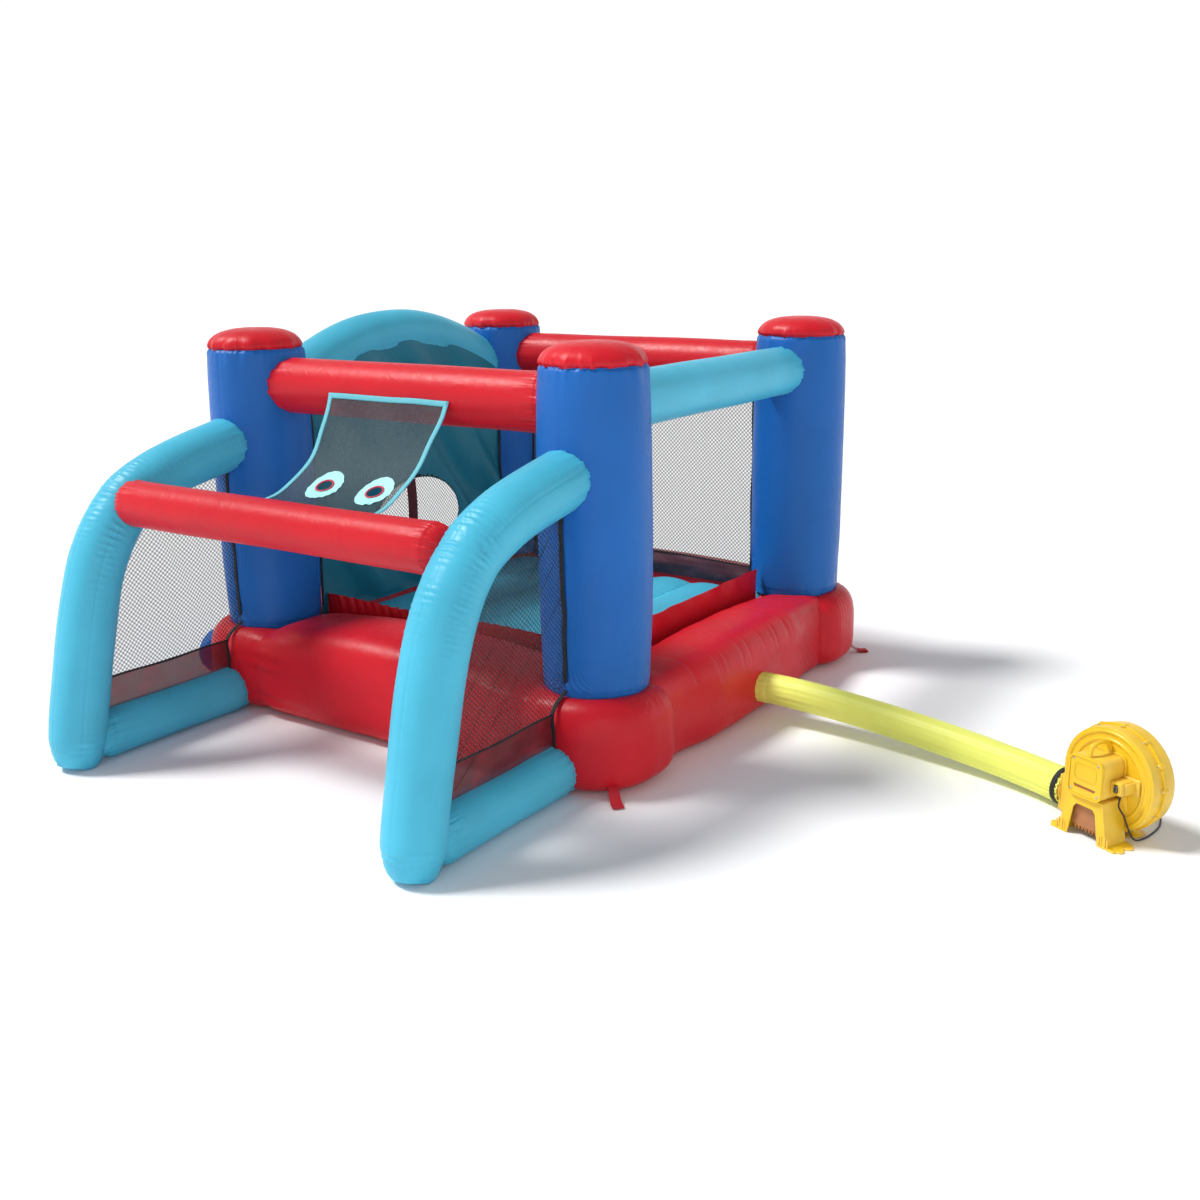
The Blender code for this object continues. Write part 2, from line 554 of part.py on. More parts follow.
casing("casing_motor_side", -GAP / 2, -VOL_HALF, 0.014)
casing("casing_inlet_side", GAP / 2, VOL_HALF, 0.075)
bm = bmesh.new()
bmesh.ops.create_cone(bm, cap_ends=True, segments=24, radius1=0.0735, radius2=0.0735, depth=0.004)
bmesh.ops.rotate(bm, verts=bm.verts, matrix=Matrix.Rotation(math.pi / 2, 3, "X"))
guard = add("inlet_grille", bm, "shell", blower, at=(0, VOL_HALF - 0.002, VOL_Z))
for i in range(7):
    half = 0.062 if i == 3 else 0.88 * math.sqrt(max(0.0, 0.066 ** 2 - ((i - 3) * 0.0175) ** 2))
    z = VOL_Z + (i - 3) * 0.0175
    slot = box(-half, half, VOL_HALF - 0.02, VOL_HALF + 0.02, z - 0.005, z + 0.005)
    cut(guard, add(f"grille_slot_{i}", slot, parent=blower))

collar = [(0.066, 0.034), (0.066, -0.022), (0.060, -0.022), (0.060, 0.034)]
bm = turned(collar + [collar[0]], 24)
bmesh.ops.remove_doubles(bm, verts=bm.verts, dist=1e-6)
bmesh.ops.rotate(bm, verts=bm.verts, matrix=Matrix.Rotation(math.pi / 2, 3, "Y"))
flange = add("outlet_collar", bm, "shell", blower,
             at=(duct_end - 0.030 - 0.008 - GAP, 0, (duct_low + duct_high) / 2))
plate = box(duct_end - 0.008 - GAP, duct_end - GAP, -VOL_HALF, VOL_HALF, duct_low, duct_high)
cut(flange, add("collar_plate", plate, parent=blower), "UNION")
opening = bmesh.new()
bmesh.ops.create_cone(opening, cap_ends=True, segments=24, radius1=0.058, radius2=0.058, depth=0.2)
bmesh.ops.rotate(opening, verts=opening.verts, matrix=Matrix.Rotation(math.pi / 2, 3, "Y"))
cut(flange, add("collar_opening", opening, parent=blower,
                at=(duct_end - 0.03, 0, (duct_low + duct_high) / 2)))

# motor, shaft and fan wheel on one axis
HOUSE_Z, HOUSE_W, HOUSE_H = 0.255, 0.075, 0.080
M0, M1 = -VOL_HALF - GAP, -0.178


def lathe_y(profile, segments=24):
    bm = turned(profile, segments)
    bmesh.ops.remove_doubles(bm, verts=bm.verts, dist=1e-6)
    if any(e.is_boundary for e in bm.edges):
        bmesh.ops.holes_fill(bm, edges=[e for e in bm.edges if e.is_boundary], sides=0)
    bmesh.ops.rotate(bm, verts=bm.verts, matrix=Matrix.Rotation(math.pi / 2, 3, "X"))
    return bm


add("motor_shaft", lathe_y([(0.005, 0.140), (0.005, -0.040)], 16), "steel", blower,
    at=(0, 0, VOL_Z))
add("motor_body", lathe_y([(0.0058, 0.138), (0.037, 0.138), (0.039, 0.134), (0.039, 0.074),
                           (0.037, 0.070), (0.0058, 0.070), (0.0058, 0.138)], 20), "steel",
    blower, at=(0, 0, VOL_Z))
wheel_profile = [(0.0056, 0.046), (0.118, 0.046), (0.118, 0.043), (0.016, 0.043), (0.016, 0.018),
                 (0.0056, 0.018), (0.0056, 0.046)]
wheel = add("fan_wheel", lathe_y(wheel_profile, 24), "inner", blower, at=(0, 0, VOL_Z))
shroud_profile = [(0.118, -0.036), (0.118, -0.039), (0.080, -0.039), (0.080, -0.036),
                  (0.118, -0.036)]
shroud = add("fan_shroud", lathe_y(shroud_profile, 24), parent=blower, at=(0, 0, VOL_Z))
cut(wheel, shroud, "UNION")
BLADES = 9
for i in range(BLADES):
    blade = box(0.084, 0.116, -0.0445, 0.0375, -0.0012, 0.0012)
    bmesh.ops.rotate(blade, verts=blade.verts, cent=(0.1, 0, 0), matrix=Matrix.Rotation(0.6, 3, "Y"))
    bmesh.ops.rotate(blade, verts=blade.verts,
                     matrix=Matrix.Rotation(2 * math.pi * i / BLADES, 3, "Y"))
    cut(wheel, add(f"blade_{i}", blade, parent=blower, at=(0, 0, VOL_Z)), "UNION")

# motor housing: a rounded cup against the casing, closed by an end cover with a vent slot
shell = box(-HOUSE_W, HOUSE_W, M1, M0, HOUSE_Z - HOUSE_H, HOUSE_Z + HOUSE_H)
long_edges = [e for e in shell.edges if abs(e.verts[0].co.y - e.verts[1].co.y) > 0.05]
bmesh.ops.bevel(shell, geom=long_edges, offset=0.026, segments=4, profile=0.5, affect="EDGES")
housing = add("motor_housing", shell, "shell", blower)
hollow = box(-HOUSE_W + 0.003, HOUSE_W - 0.003, M1 - 0.05, M0 - 0.003,
             HOUSE_Z - HOUSE_H + 0.003, HOUSE_Z + HOUSE_H - 0.003)
long_edges = [e for e in hollow.edges if abs(e.verts[0].co.y - e.verts[1].co.y) > 0.05]
bmesh.ops.bevel(hollow, geom=long_edges, offset=0.024, segments=3, profile=0.5, affect="EDGES")
cut(housing, add("housing_hollow", hollow, parent=blower))
cut(housing, add("housing_bore", lathe_y([(0.014, 0.08), (0.014, 0.04)], 16), parent=blower,
                 at=(0, 0, VOL_Z)))
cover = box(-HOUSE_W, HOUSE_W, M1 - 0.012, M1 - GAP, HOUSE_Z - HOUSE_H, HOUSE_Z + HOUSE_H)
long_edges = [e for e in cover.edges if abs(e.verts[0].co.y - e.verts[1].co.y) > 0.005]
bmesh.ops.bevel(cover, geom=long_edges, offset=0.026, segments=4, profile=0.5, affect="EDGES")
cover = add("motor_end_cover", cover, "shell", blower)
vent = prism([(-0.045, HOUSE_Z - 0.050), (0.045, HOUSE_Z - 0.050), (0.052, HOUSE_Z - 0.036),
              (-0.052, HOUSE_Z - 0.036)], M1 - 0.03, M1 + 0.02, "Y")
cut(cover, add("vent_slot", vent, parent=blower))

hz = HOUSE_Z + HOUSE_H + GAP
handle_line = [(0.0, -0.070, hz), (0.0, -0.070, hz + 0.028), (0.0, -0.080, hz + 0.043),
               (0.0, -0.100, hz + 0.048), (0.0, -0.140, hz + 0.048), (0.0, -0.160, hz + 0.043),
               (0.0, -0.170, hz + 0.028), (0.0, -0.170, hz)]
tube("carry_handle", handle_line, 0.0085, "shell", blower, resolution=2)
box_z = 0.235
case = box(HOUSE_W + GAP, HOUSE_W + 0.050, -0.140, -0.066, box_z - 0.026, box_z + 0.026, 0.006, 2)
case = add("switch_box", case, "shell", blower)
cut(case, add("switch_well", box(HOUSE_W + 0.016, HOUSE_W + 0.036, -0.160, -0.1220,
                                 box_z - 0.0165, box_z + 0.0165), parent=blower))
pivot = (HOUSE_W + 0.026, -0.137, box_z)
rocker = box(-0.0090, 0.0090, -0.0075, 0.0060, -0.0125, 0.0125, 0.002, 1)
add("switch_rocker", rocker, "black", blower, at=pivot)

# stand: an arched saddle under the motor housing with splayed feet, and a rear leg
low_z = HOUSE_Z - HOUSE_H - GAP
saddle = [(-0.150, 0.0), (-0.150, 0.008), (-0.112, 0.012), (-0.080, low_z), (0.080, low_z),
          (0.112, 0.012), (0.150, 0.008), (0.150, 0.0), (0.070, 0.0), (0.050, 0.118),
          (0.036, 0.136), (-0.036, 0.136), (-0.050, 0.118), (-0.070, 0.0)]
stand = add("blower_stand", prism(saddle, -0.180, -0.066, "Y"), "shell", blower)
cut(stand, add("stand_hollow", prism([(-0.100, -0.02), (-0.072, low_z - 0.012),
                                      (0.072, low_z - 0.012), (0.100, -0.02)], -0.172, -0.05,
                                     "Y"), parent=blower))

# power lead: gland under the switch box, lead down the stand, coil and plug behind the sleeve
gland_at = (HOUSE_W + 0.026, -0.112, box_z - 0.026 - GAP)
bm = closed_turned([(0.0075, 0.0), (0.0075, -0.006), (0.0055, -0.008), (0.0045, -0.022)], 16)
add("cord_gland", bm, "black", blower, at=gland_at)
frame = blower.matrix_world
start = frame @ Vector((gland_at[0], gland_at[1], gland_at[2] - 0.022 - GAP / 2))
floor_z = CORD_D / 2 + 0.0006
route = [start, start + Vector((0, 0, -0.03))]
for x, y, z in ((0.117, -0.098, 0.120), (0.127, -0.068, 0.050), (0.129, -0.030, 0.012)):
    route.append(frame @ Vector((x, y, z)))
for x, y in ((0.118, 0.060), (0.080, 0.170), (0.000, 0.270), (-0.100, 0.335), (-0.200, 0.355),
             (-0.250, 0.355)):
    q = frame @ Vector((x, y, 0))
    route.append(Vector((q.x, q.y, floor_z)))
lead = smooth(route, 48)
for p in lead:
    p.z = max(p.z, floor_z)
tube("cord_lead", lead, CORD_D / 2, "black", resolution=2)
COIL_IN, COIL_OUT, COIL_H = 0.034, 0.050, 0.0225
COIL_TURN = COIL_OUT - 0.0045      # the outer turn's centre line, which the lead runs into
coil_x, coil_y = -0.250 - 0.028, 0.355 - COIL_TURN
bm = turned([(COIL_OUT, COIL_H), (COIL_OUT, 0.0006), (COIL_IN, 0.0006), (COIL_IN, COIL_H),
             (COIL_OUT, COIL_H)], 28)
bmesh.ops.remove_doubles(bm, verts=bm.verts, dist=1e-6)
add("cord_coil", bm, "black", at=frame @ Vector((coil_x, coil_y, 0)))
plug = box(-0.020, 0.020, -0.013, 0.013, 0.0, 0.020, 0.004, 1)
plug = add("cord_plug", plug, "black", at=frame @ Vector((coil_x - 0.059, 0.355, 0.0006)))
plug.rotation_euler = (0, 0, BLOWER_TURN)

# ---- air sleeve from the base to the blower -------------------------------------------
out = frame @ Vector((duct_end - 0.012, 0, (duct_low + duct_high) / 2))
away = frame.to_3x3() @ Vector((-1, 0, 0))
sleeve_r = 0.0730
neck = out + away * 0.075
first = Vector((SIDE_OUT + 0.0050, 0.0, 0.155))
start = first + Vector((0.035, 0, 0))
ends = (start, start + Vector((0.38, 0, 0)), neck + away * 0.42, neck)
sleeve_line = [first]
for i in range(15):
    t = i / 14
    a, b, c, d = ends
    q = a * (1 - t) ** 3 + 3 * b * t * (1 - t) ** 2 + 3 * c * t * t * (1 - t) + d * t ** 3
    sleeve_line.append(Vector((q.x, q.y, max(q.z, sleeve_r + 0.001))))
sleeve_line += [out + away * 0.0375, out]
skin(tube("air_sleeve", sleeve_line, sleeve_r, "sleeve", resolution=3, caps=False))
strap_r = sleeve_r + 0.0012
strap = turned([(strap_r + 0.002, 0.014), (strap_r + 0.002, -0.014), (strap_r, -0.014),
                (strap_r, 0.014), (strap_r + 0.002, 0.014)], 24)
bmesh.ops.remove_doubles(strap, verts=strap.verts, dist=1e-6)
bmesh.ops.rotate(strap, verts=strap.verts, matrix=Matrix.Rotation(math.pi / 2, 3, "Y"))
add("sleeve_strap", strap, "black", blower, at=(duct_end - 0.034, 0, (duct_low + duct_high) / 2))
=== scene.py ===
"""Looks of the inflatable bounce house: coated fabric tubes with gathered seams, nets, trims,
the air sleeve and the blower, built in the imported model's own frame. Metres throughout."""

import math

import bmesh
import bpy
import numpy as np
from mathutils import Matrix, Vector


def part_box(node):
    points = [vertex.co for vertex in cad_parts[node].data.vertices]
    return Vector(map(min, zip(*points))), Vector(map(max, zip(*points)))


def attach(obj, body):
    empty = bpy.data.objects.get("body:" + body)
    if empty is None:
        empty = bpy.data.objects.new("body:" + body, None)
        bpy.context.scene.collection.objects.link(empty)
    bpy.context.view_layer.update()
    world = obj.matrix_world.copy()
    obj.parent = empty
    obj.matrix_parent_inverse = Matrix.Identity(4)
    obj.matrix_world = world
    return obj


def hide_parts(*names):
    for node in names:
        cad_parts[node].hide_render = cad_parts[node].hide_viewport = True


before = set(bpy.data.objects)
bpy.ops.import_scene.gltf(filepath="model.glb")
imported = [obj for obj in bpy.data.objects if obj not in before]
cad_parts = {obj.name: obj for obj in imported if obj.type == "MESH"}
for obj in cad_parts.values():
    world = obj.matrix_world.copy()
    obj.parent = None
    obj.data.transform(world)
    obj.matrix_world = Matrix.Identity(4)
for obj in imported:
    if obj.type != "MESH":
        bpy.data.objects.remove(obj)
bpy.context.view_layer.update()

scene = bpy.context.scene
scene.view_settings.view_transform = "Standard"
TWO_PI = 2 * math.pi
SIDES = (("left", -1), ("right", 1))

# ---- places and sizes, read from the frame's nodes ---------------------------------------
HOUSE = "house"


def middle(node):
    """Centre of a node's box."""
    low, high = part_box(node)
    return (low + high) / 2


def half(node, axis):
    """Half of a node's size along x (0) or z (2)."""
    low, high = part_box(node)
    return (high[axis] - low[axis]) / 2


COL_X, COL_Y = middle("column_front_right").x, abs(middle("column_front_right").y)
COL_R = half("column_front_right", 0)
BASE_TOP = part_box("column_front_right")[0].z
CAP_SEAM, CAP_TOP = (corner.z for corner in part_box("cap_front_right"))
FLOOR_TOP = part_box("bounce_floor")[1].z
BEAM_Z = middle("beam_front").z
BEAM_R, BEAM_SIDE_R = half("beam_front", 2), half("beam_right", 2)
ARCH_PEAK, ARCH_SAG, ARCH_R = 1.760, 0.37, 0.125
BAY_R, GROUND_R = half("side_arch_right", 0), half("ground_tube_right", 0)
CROSS, CROSS_R = middle("crossbar_front"), half("crossbar_front", 2)
PANEL_X = abs(middle("wall_panel_left").x)
COLUMNS = {"front_left": (-COL_X, -COL_Y), "front_right": (COL_X, -COL_Y),
           "rear_left": (-COL_X, COL_Y), "rear_right": (COL_X, COL_Y)}
BLOWER = Matrix.Translation((3.000, -0.385, 0.0)) @ Matrix.Rotation(-0.46, 4, "Z")
COLLAR_AT = (-0.222, 0, 0.090)
CORD_D, CORD_LENGTH = 0.007, 2.22
SLIM = 0.001  # a cloth tube is this much slimmer than its node, which leaves room for gathers

# ---- camera, floor and light ---------------------------------------------------------------
CAMERA_AT, LENS, SENSOR = (3.938, -5.332, 2.207), 39.0, 36.0
YAW, PITCH, ROLL = 0.5918, 0.2666, -0.0107
SKY, GROUND = (0.985, 0.992, 1.0), (0.955, 0.965, 0.985)
GROUND_HALF = 60


def linked(name, data):
    """A new object in the scene."""
    ob = bpy.data.objects.new(name, data)
    scene.collection.objects.link(ob)
    return ob


def camera():
    """Above head height off the front right corner, looking down a little."""
    level = math.cos(PITCH)
    forward = Vector((-math.sin(YAW) * level, math.cos(YAW) * level, -math.sin(PITCH)))
    right = Vector((math.cos(YAW), math.sin(YAW), 0))
    up = right.cross(forward)
    across = right * math.cos(ROLL) + up * math.sin(ROLL)
    upright = up * math.cos(ROLL) - right * math.sin(ROLL)
    data = bpy.data.cameras.new("camera")
    data.lens, data.sensor_width = LENS, SENSOR
    ob = linked("camera", data)
    turn = Matrix((across, upright, -forward)).transposed().to_4x4()
    ob.matrix_world = Matrix.Translation(CAMERA_AT) @ turn
    scene.camera = ob


def light(name, kind, power, way, at=(0, 0, 0)):
    """A lamp that shines along the direction way."""
    data = bpy.data.lights.new(name, kind)
    data.energy = power
    ob = linked(name, data)
    ob.location = at
    ob.rotation_euler = Vector(way).to_track_quat("-Z", "Y").to_euler()
    return data


def studio():
    """A pale room, brightest at the horizon, with one soft sun and a weak fill in front."""
    world = bpy.data.worlds.new("studio")
    world.use_nodes = True
    tree = world.node_tree
    back = tree.nodes["Background"]
    parts = tree.nodes.new("ShaderNodeSeparateXYZ")
    tree.links.new(tree.nodes.new("ShaderNodeTexCoord").outputs["Generated"], parts.inputs[0])
    fade = tree.nodes.new("ShaderNodeMapRange")
    for key, value in (("From Min", 0.18), ("From Max", 0.55), ("To Min", 1.03), ("To Max", 0.34)):
        fade.inputs[key].default_value = value
    tree.links.new(parts.outputs["Z"], fade.inputs["Value"])
    tree.links.new(fade.outputs["Result"], back.inputs["Strength"])
    back.inputs["Color"].default_value = (*SKY, 1)
    scene.world = world
    sun = light("key", "SUN", 2.95, (0.62, 0.30, -1.0))
    sun.angle, sun.color = 0.26, (1.0, 0.985, 0.96)
    fill_at, fill_aim = Vector((5.5, -6.5, 3.5)), Vector((0.8, -0.4, 0.6))
    fill = light("fill", "AREA", 40, fill_aim - fill_at, fill_at)
    fill.shape, fill.size = "DISK", 4.0
    bm = bmesh.new()
    bmesh.ops.create_grid(bm, x_segments=1, y_segments=1, size=GROUND_HALF)
    me = bpy.data.meshes.new("ground")
    bm.to_mesh(me)
    pale = Nodes("ground_pale")
    pale.fix("Base Color", (*GROUND, 1))
    pale.fix("Roughness", 0.9)
    me.materials.append(pale.material)
    linked("ground", me)


# ---- materials -----------------------------------------------------------------------------
# a wave texture repeats every 2 pi / (20 x scale) metres: 2.2 mm for cloth, 2.8 mm for tape
WEAVE_SCALE, TAPE_SCALE = 143.312, 111.465


def shade(colour, factor):
    return tuple(min(1.0, c * factor) for c in colour)


class Nodes:
    """Shorthand for building a material's node tree."""

    def __init__(self, name):
        self.material = bpy.data.materials.new(name)
        self.material.use_nodes = True
        self.tree = self.material.node_tree
        self.shader = self.tree.nodes["Principled BSDF"]

    def add(self, kind, inputs=None, **settings):
        node = self.tree.nodes.new(kind)
        for key, value in settings.items():
            setattr(node, key, value)
        for key, value in (inputs or {}).items():
            if isinstance(value, bpy.types.NodeSocket):
                self.tree.links.new(value, node.inputs[key])
            else:
                node.inputs[key].default_value = value
        return node

    def math(self, operation, a, b=0.0):
        return self.add("ShaderNodeMath", {0: a, 1: b}, operation=operation).outputs[0]

    def link(self, name, socket):
        self.tree.links.new(socket, self.shader.inputs[name])

    def fix(self, name, value):
        self.shader.inputs[name].default_value = value

    def place(self):
        """The point in the object's own coordinates."""
        return self.add("ShaderNodeTexCoord").outputs["Object"]

    def flat(self):
        """The point in the coordinates of the sheet laid flat."""
        return self.add("ShaderNodeAttribute", attribute_name="flat").outputs["Vector"]

    def noise(self, at, scale, detail, distortion=0.0):
        return self.add("ShaderNodeTexNoise", {"Vector": at, "Scale": scale, "Detail": detail,
                                               "Distortion": distortion}).outputs["Fac"]

    def wave(self, at, scale, bands, distortion=0.0):
        return self.add("ShaderNodeTexWave", {"Vector": at, "Scale": scale,
                                              "Distortion": distortion},
                        bands_direction=bands).outputs["Fac"]

    def spread(self, value, start, end, low=0.0, high=1.0):
        """A value between low and high, mapped to between start and end."""
        return self.add("ShaderNodeMapRange", {"Value": value, "From Min": low, "From Max": high,
                                               "To Min": start, "To Max": end}).outputs["Result"]

    def ramp(self, factor, *stops):
        """A colour between (place, colour) stops."""
        node = self.add("ShaderNodeValToRGB", {"Fac": factor})
        while len(node.color_ramp.elements) < len(stops):
            node.color_ramp.elements.new(0.5)
        for element, (place, colour) in zip(node.color_ramp.elements, stops):
            element.position, element.color = place, (*colour, 1)
        return node.outputs["Color"]

    def tint(self, factor, colour, *stops):
        """One colour, darker or lighter by the share at each (place, share) stop."""
        return self.ramp(factor, *((place, shade(colour, share)) for place, share in stops))

    def bump(self, height, strength, distance, under=None):
        inputs = {"Height": height, "Strength": strength, "Distance": distance}
        if under:
            inputs["Normal"] = under
        return self.add("ShaderNodeBump", inputs).outputs["Normal"]


def fabric(name, colour, rough=0.40, crinkle=1.0):
    """Coated woven fabric: cloudy colour, soft crinkles, a fine three-way weave, satin gloss."""
    n = Nodes(name)
    place = n.place()
    cloud = n.noise(place, 2.3, 3.0)
    n.link("Base Color", n.tint(cloud, colour, (0.30, 0.90), (0.55, 1), (0.80, 1.10)))
    fine = n.noise(place, 34.0, 5.0, 0.6)
    n.link("Roughness", n.spread(fine, rough - 0.05, rough + 0.08, 0.3, 0.7))
    crease = n.math("ABSOLUTE", n.math("SUBTRACT", n.noise(place, 9.0, 4.0, 1.2), 0.5))
    ways = [n.wave(place, WEAVE_SCALE, way) for way in ("X", "Y", "Z")]
    weave = n.math("MULTIPLY", n.math("ADD", n.math("ADD", ways[0], ways[1]), ways[2]), 0.333)
    soft = n.bump(crease, 0.35 * crinkle, 0.010)
    sharp = n.bump(fine, 0.22 * crinkle, 0.0030, soft)
    n.link("Normal", n.bump(weave, 0.25, 0.0004, sharp))
    n.fix("Specular IOR Level", 0.26)
    return n.material


def net(name, colour, cell=0.022, thread=0.22, fill=0.18, cover=0.84, holes=()):
    """Knitted mesh: threads on two slanting directions of the sheet's flat coordinates."""
    n = Nodes(name)
    flat = n.flat()
    parts = n.add("ShaderNodeSeparateXYZ", {"Vector": flat})
    squares = []
    for way in ("ADD", "SUBTRACT"):
        along = n.math("DIVIDE", n.math(way, parts.outputs["X"], parts.outputs["Y"]), cell)
        off = n.math("ABSOLUTE", n.math("SUBTRACT", n.math("FRACT", along), 0.5))
        squares.append(n.math("MULTIPLY", off, off))
    away = n.math("SQRT", n.math("ADD", *squares))
    alpha = n.spread(away, fill, cover, thread, 0.58)
    for x, y, radius in holes:
        near = n.add("ShaderNodeVectorMath", {0: flat, 1: (x, y, 0)}, operation="DISTANCE")
        alpha = n.math("MULTIPLY", alpha, n.math("GREATER_THAN", near.outputs["Value"], radius))
    n.link("Alpha", alpha)
    n.link("Base Color", n.tint(n.noise(flat, 40.0, 2.0), colour, (0.35, 0.8), (0.65, 1.2)))
    n.link("Normal", n.bump(away, 0.5, 0.0015))
    n.fix("Roughness", 0.65)
    return n.material


def film(name, colour, clear):
    """Thin woven cloth that lets some light and shapes through, with a fine thread pattern."""
    n = Nodes(name)
    fine = n.noise(n.flat(), 7.0, 6.0, 1.5)
    n.link("Base Color", n.tint(fine, colour, (0.3, 0.6), (0.5, 1), (0.75, 1.7)))
    n.link("Alpha", n.spread(fine, 1 - clear * 1.15, 1 - clear * 0.8, 0.3, 0.7))
    n.link("Normal", n.bump(fine, 0.4, 0.006))
    n.fix("Roughness", 0.5)
    return n.material


def webbing(name, colour):
    """Woven tape with slanting ribs."""
    n = Nodes(name)
    ribs = n.wave(n.place(), TAPE_SCALE, "DIAGONAL", 1.0)
    n.link("Base Color", n.tint(ribs, colour, (0.2, 0.7), (0.8, 1.15)))
    n.link("Normal", n.bump(ribs, 0.5, 0.0006))
    n.fix("Roughness", 0.7)
    return n.material


def plastic(name, colour, rough=0.32, grain=1.0, worn=True):
    """Blow-moulded plastic: faint flow marks, fine grain, edges rubbed paler."""
    n = Nodes(name)
    place = n.place()
    flow = n.noise(place, 7.0, 4.0, 0.8)
    body = n.tint(flow, colour, (0.3, 0.90), (0.6, 1), (0.85, 1.08))
    if worn:
        edge = n.add("ShaderNodeNewGeometry").outputs["Pointiness"]
        rub = n.spread(edge, 0.0, 0.35, 0.53, 0.60)
        pale = (*[0.5 + 0.5 * c for c in colour], 1)
        body = n.add("ShaderNodeMix", {0: rub, 6: body, 7: pale}, data_type="RGBA").outputs[2]
    n.link("Base Color", body)
    n.link("Roughness", n.spread(flow, rough - 0.06, rough + 0.10))
    n.link("Normal", n.bump(n.noise(place, 420.0, 3.0), 0.12 * grain, 0.0008))
    return n.material


def steel(name):
    """Machined steel with faint streaks."""
    n = Nodes(name)
    lines = n.noise(n.place(), 160.0, 3.0)
    n.link("Roughness", n.spread(lines, 0.24, 0.42))
    n.link("Base Color", n.ramp(lines, (0.3, (0.48, 0.48, 0.50)), (0.7, (0.62, 0.62, 0.64))))
    n.fix("Metallic", 1.0)
    return n.material


camera()
studio()

RED, BLUE, CYAN = (0.640, 0.010, 0.022), (0.009, 0.135, 0.490), (0.075, 0.500, 0.710)
TARGETS = [(-0.125, 0.475), (0.165, 0.475)]
TARGET_HOLE = 0.037
# each look: its material and the colour slot of the pieces that wear it
LOOKS = {
    "red": (fabric("fabric_red", RED, 0.37), "red"),
    "blue": (fabric("fabric_blue", BLUE, 0.40, 0.8), "blue"),
    "cyan": (fabric("fabric_cyan", CYAN, 0.38, 0.8), "cyan"),
    "floor": (fabric("fabric_floor", CYAN, 0.45), "cyan"),
    "teal": (fabric("fabric_teal", (0.018, 0.200, 0.285), 0.42, 1.6), "teal"),
    "sleeve": (fabric("fabric_sleeve", (0.80, 0.84, 0.17), 0.42, 0.5), "sleeve"),
    "net": (net("net_black", (0.020, 0.022, 0.025)), "net"),
    "target": (net("net_target", (0.016, 0.048, 0.062), 0.014, 0.18, 0.50, 0.92,
                   [(*at, TARGET_HOLE) for at in TARGETS]), "net"),
    "hem_strap": (fabric("fabric_dark_red", (0.10, 0.008, 0.014), 0.5), "hem"),
    "hem_red": (film("hem_red", (0.14, 0.004, 0.012), 0.07), "hem"),
    # the rear hem: the red hem cloth, coloured dark purple-grey as painted shade
    "hem_painted_shade": (film("hem_painted_shade", (0.040, 0.018, 0.034), 0.10), "hem"),
    "binding": (webbing("binding_black", (0.010, 0.011, 0.014)), "net"),
    "binding_cyan": (webbing("binding_cyan", (0.16, 0.60, 0.72)), "cyan"),
    "ring": (fabric("fabric_ring", (0.42, 0.86, 0.86), 0.5, 0.5), "target"),
    "trim": (webbing("trim_red", (0.62, 0.05, 0.10)), "red"),
    "loop": (webbing("webbing_red", (0.60, 0.010, 0.025)), "red"),
    "shell": (plastic("plastic_yellow", (0.88, 0.560, 0.020)), "shell"),
    "inner": (plastic("plastic_orange", (0.42, 0.14, 0.02), 0.5), "inner"),
    "rubber": (plastic("rubber_black", (0.018, 0.018, 0.020), 0.48, 2.0, False), "black"),
    "rocker": (plastic("rocker_black", (0.020, 0.018, 0.022), 0.25, 0.5), "black"),
    "steel": (steel("steel_brushed"), "steel"),
}


# ---- mesh helpers --------------------------------------------------------------------------
def xyz(x, y, z):
    """Points from three arrays or numbers, spread to one shape."""
    return np.stack(np.broadcast_arrays(x, y, z), axis=-1)


def clipped(share):
    return np.clip(share, 0, 1)


def eased(share):
    """From 0 to 1 with a level start and end."""
    share = clipped(share)
    return share * share * (3 - 2 * share)


def bell(away, width):
    """1 at away = 0, and near 0 past twice the width."""
    return np.exp(-(away / width) ** 2)


def turn_gap(turn, at):
    """Angle of turn from at, the short way round."""
    return np.angle(np.exp(1j * (turn - at)))


def full_turn(count):
    return np.linspace(0, TWO_PI, count, endpoint=False)


def smoothed(values, reach):
    """Running mean over reach neighbours on each side."""
    count = 2 * reach + 1
    return np.convolve(np.pad(values, reach, mode="edge"), np.ones(count) / count, mode="valid")


def lengths(line):
    """Length along a line at each of its points."""
    return np.r_[0, np.cumsum(np.linalg.norm(np.diff(line, axis=0), axis=1))]


def unit(rows):
    return rows / (np.linalg.norm(rows, axis=1)[:, None] + 1e-12)


def tangents(line):
    return unit(np.gradient(line, axis=0))


def evenly(line, want):
    """Points on a line at the wanted lengths along it."""
    s = lengths(line)
    return np.stack([np.interp(want, s, line[:, k]) for k in range(line.shape[1])], axis=1)


def moved(points, matrix):
    m = np.array(matrix)
    return points @ m[:3, :3].T + m[:3, 3]


def local(x, y, z):
    """A point in the blower's own frame: x away from its outlet, y from motor to inlet, z up."""
    return BLOWER @ Vector((x, y, z))


def local_way(x, y, z):
    """A direction in that frame."""
    return np.array(BLOWER.to_3x3() @ Vector((x, y, z)))


def ridges(turn, seed, count):
    """Irregular ripples round a closed turn: whole-number waves near count, unit height."""
    rng = np.random.default_rng(seed)
    total = np.zeros_like(turn)
    terms, spread = 7, 0.35
    for _ in range(terms):
        k = max(2, int(round(count * (1 + spread * (2 * rng.random() - 1)))))
        total += np.cos(k * turn + TWO_PI * rng.random())
    return total / math.sqrt(terms / 2)


def gathers(turn, seed, count):
    """Gathered cloth: rounded crests with narrow creases between them."""
    wave = ridges(turn, seed, count)
    return 0.45 * wave - 1.1 * bell(wave, 0.45) + 0.35


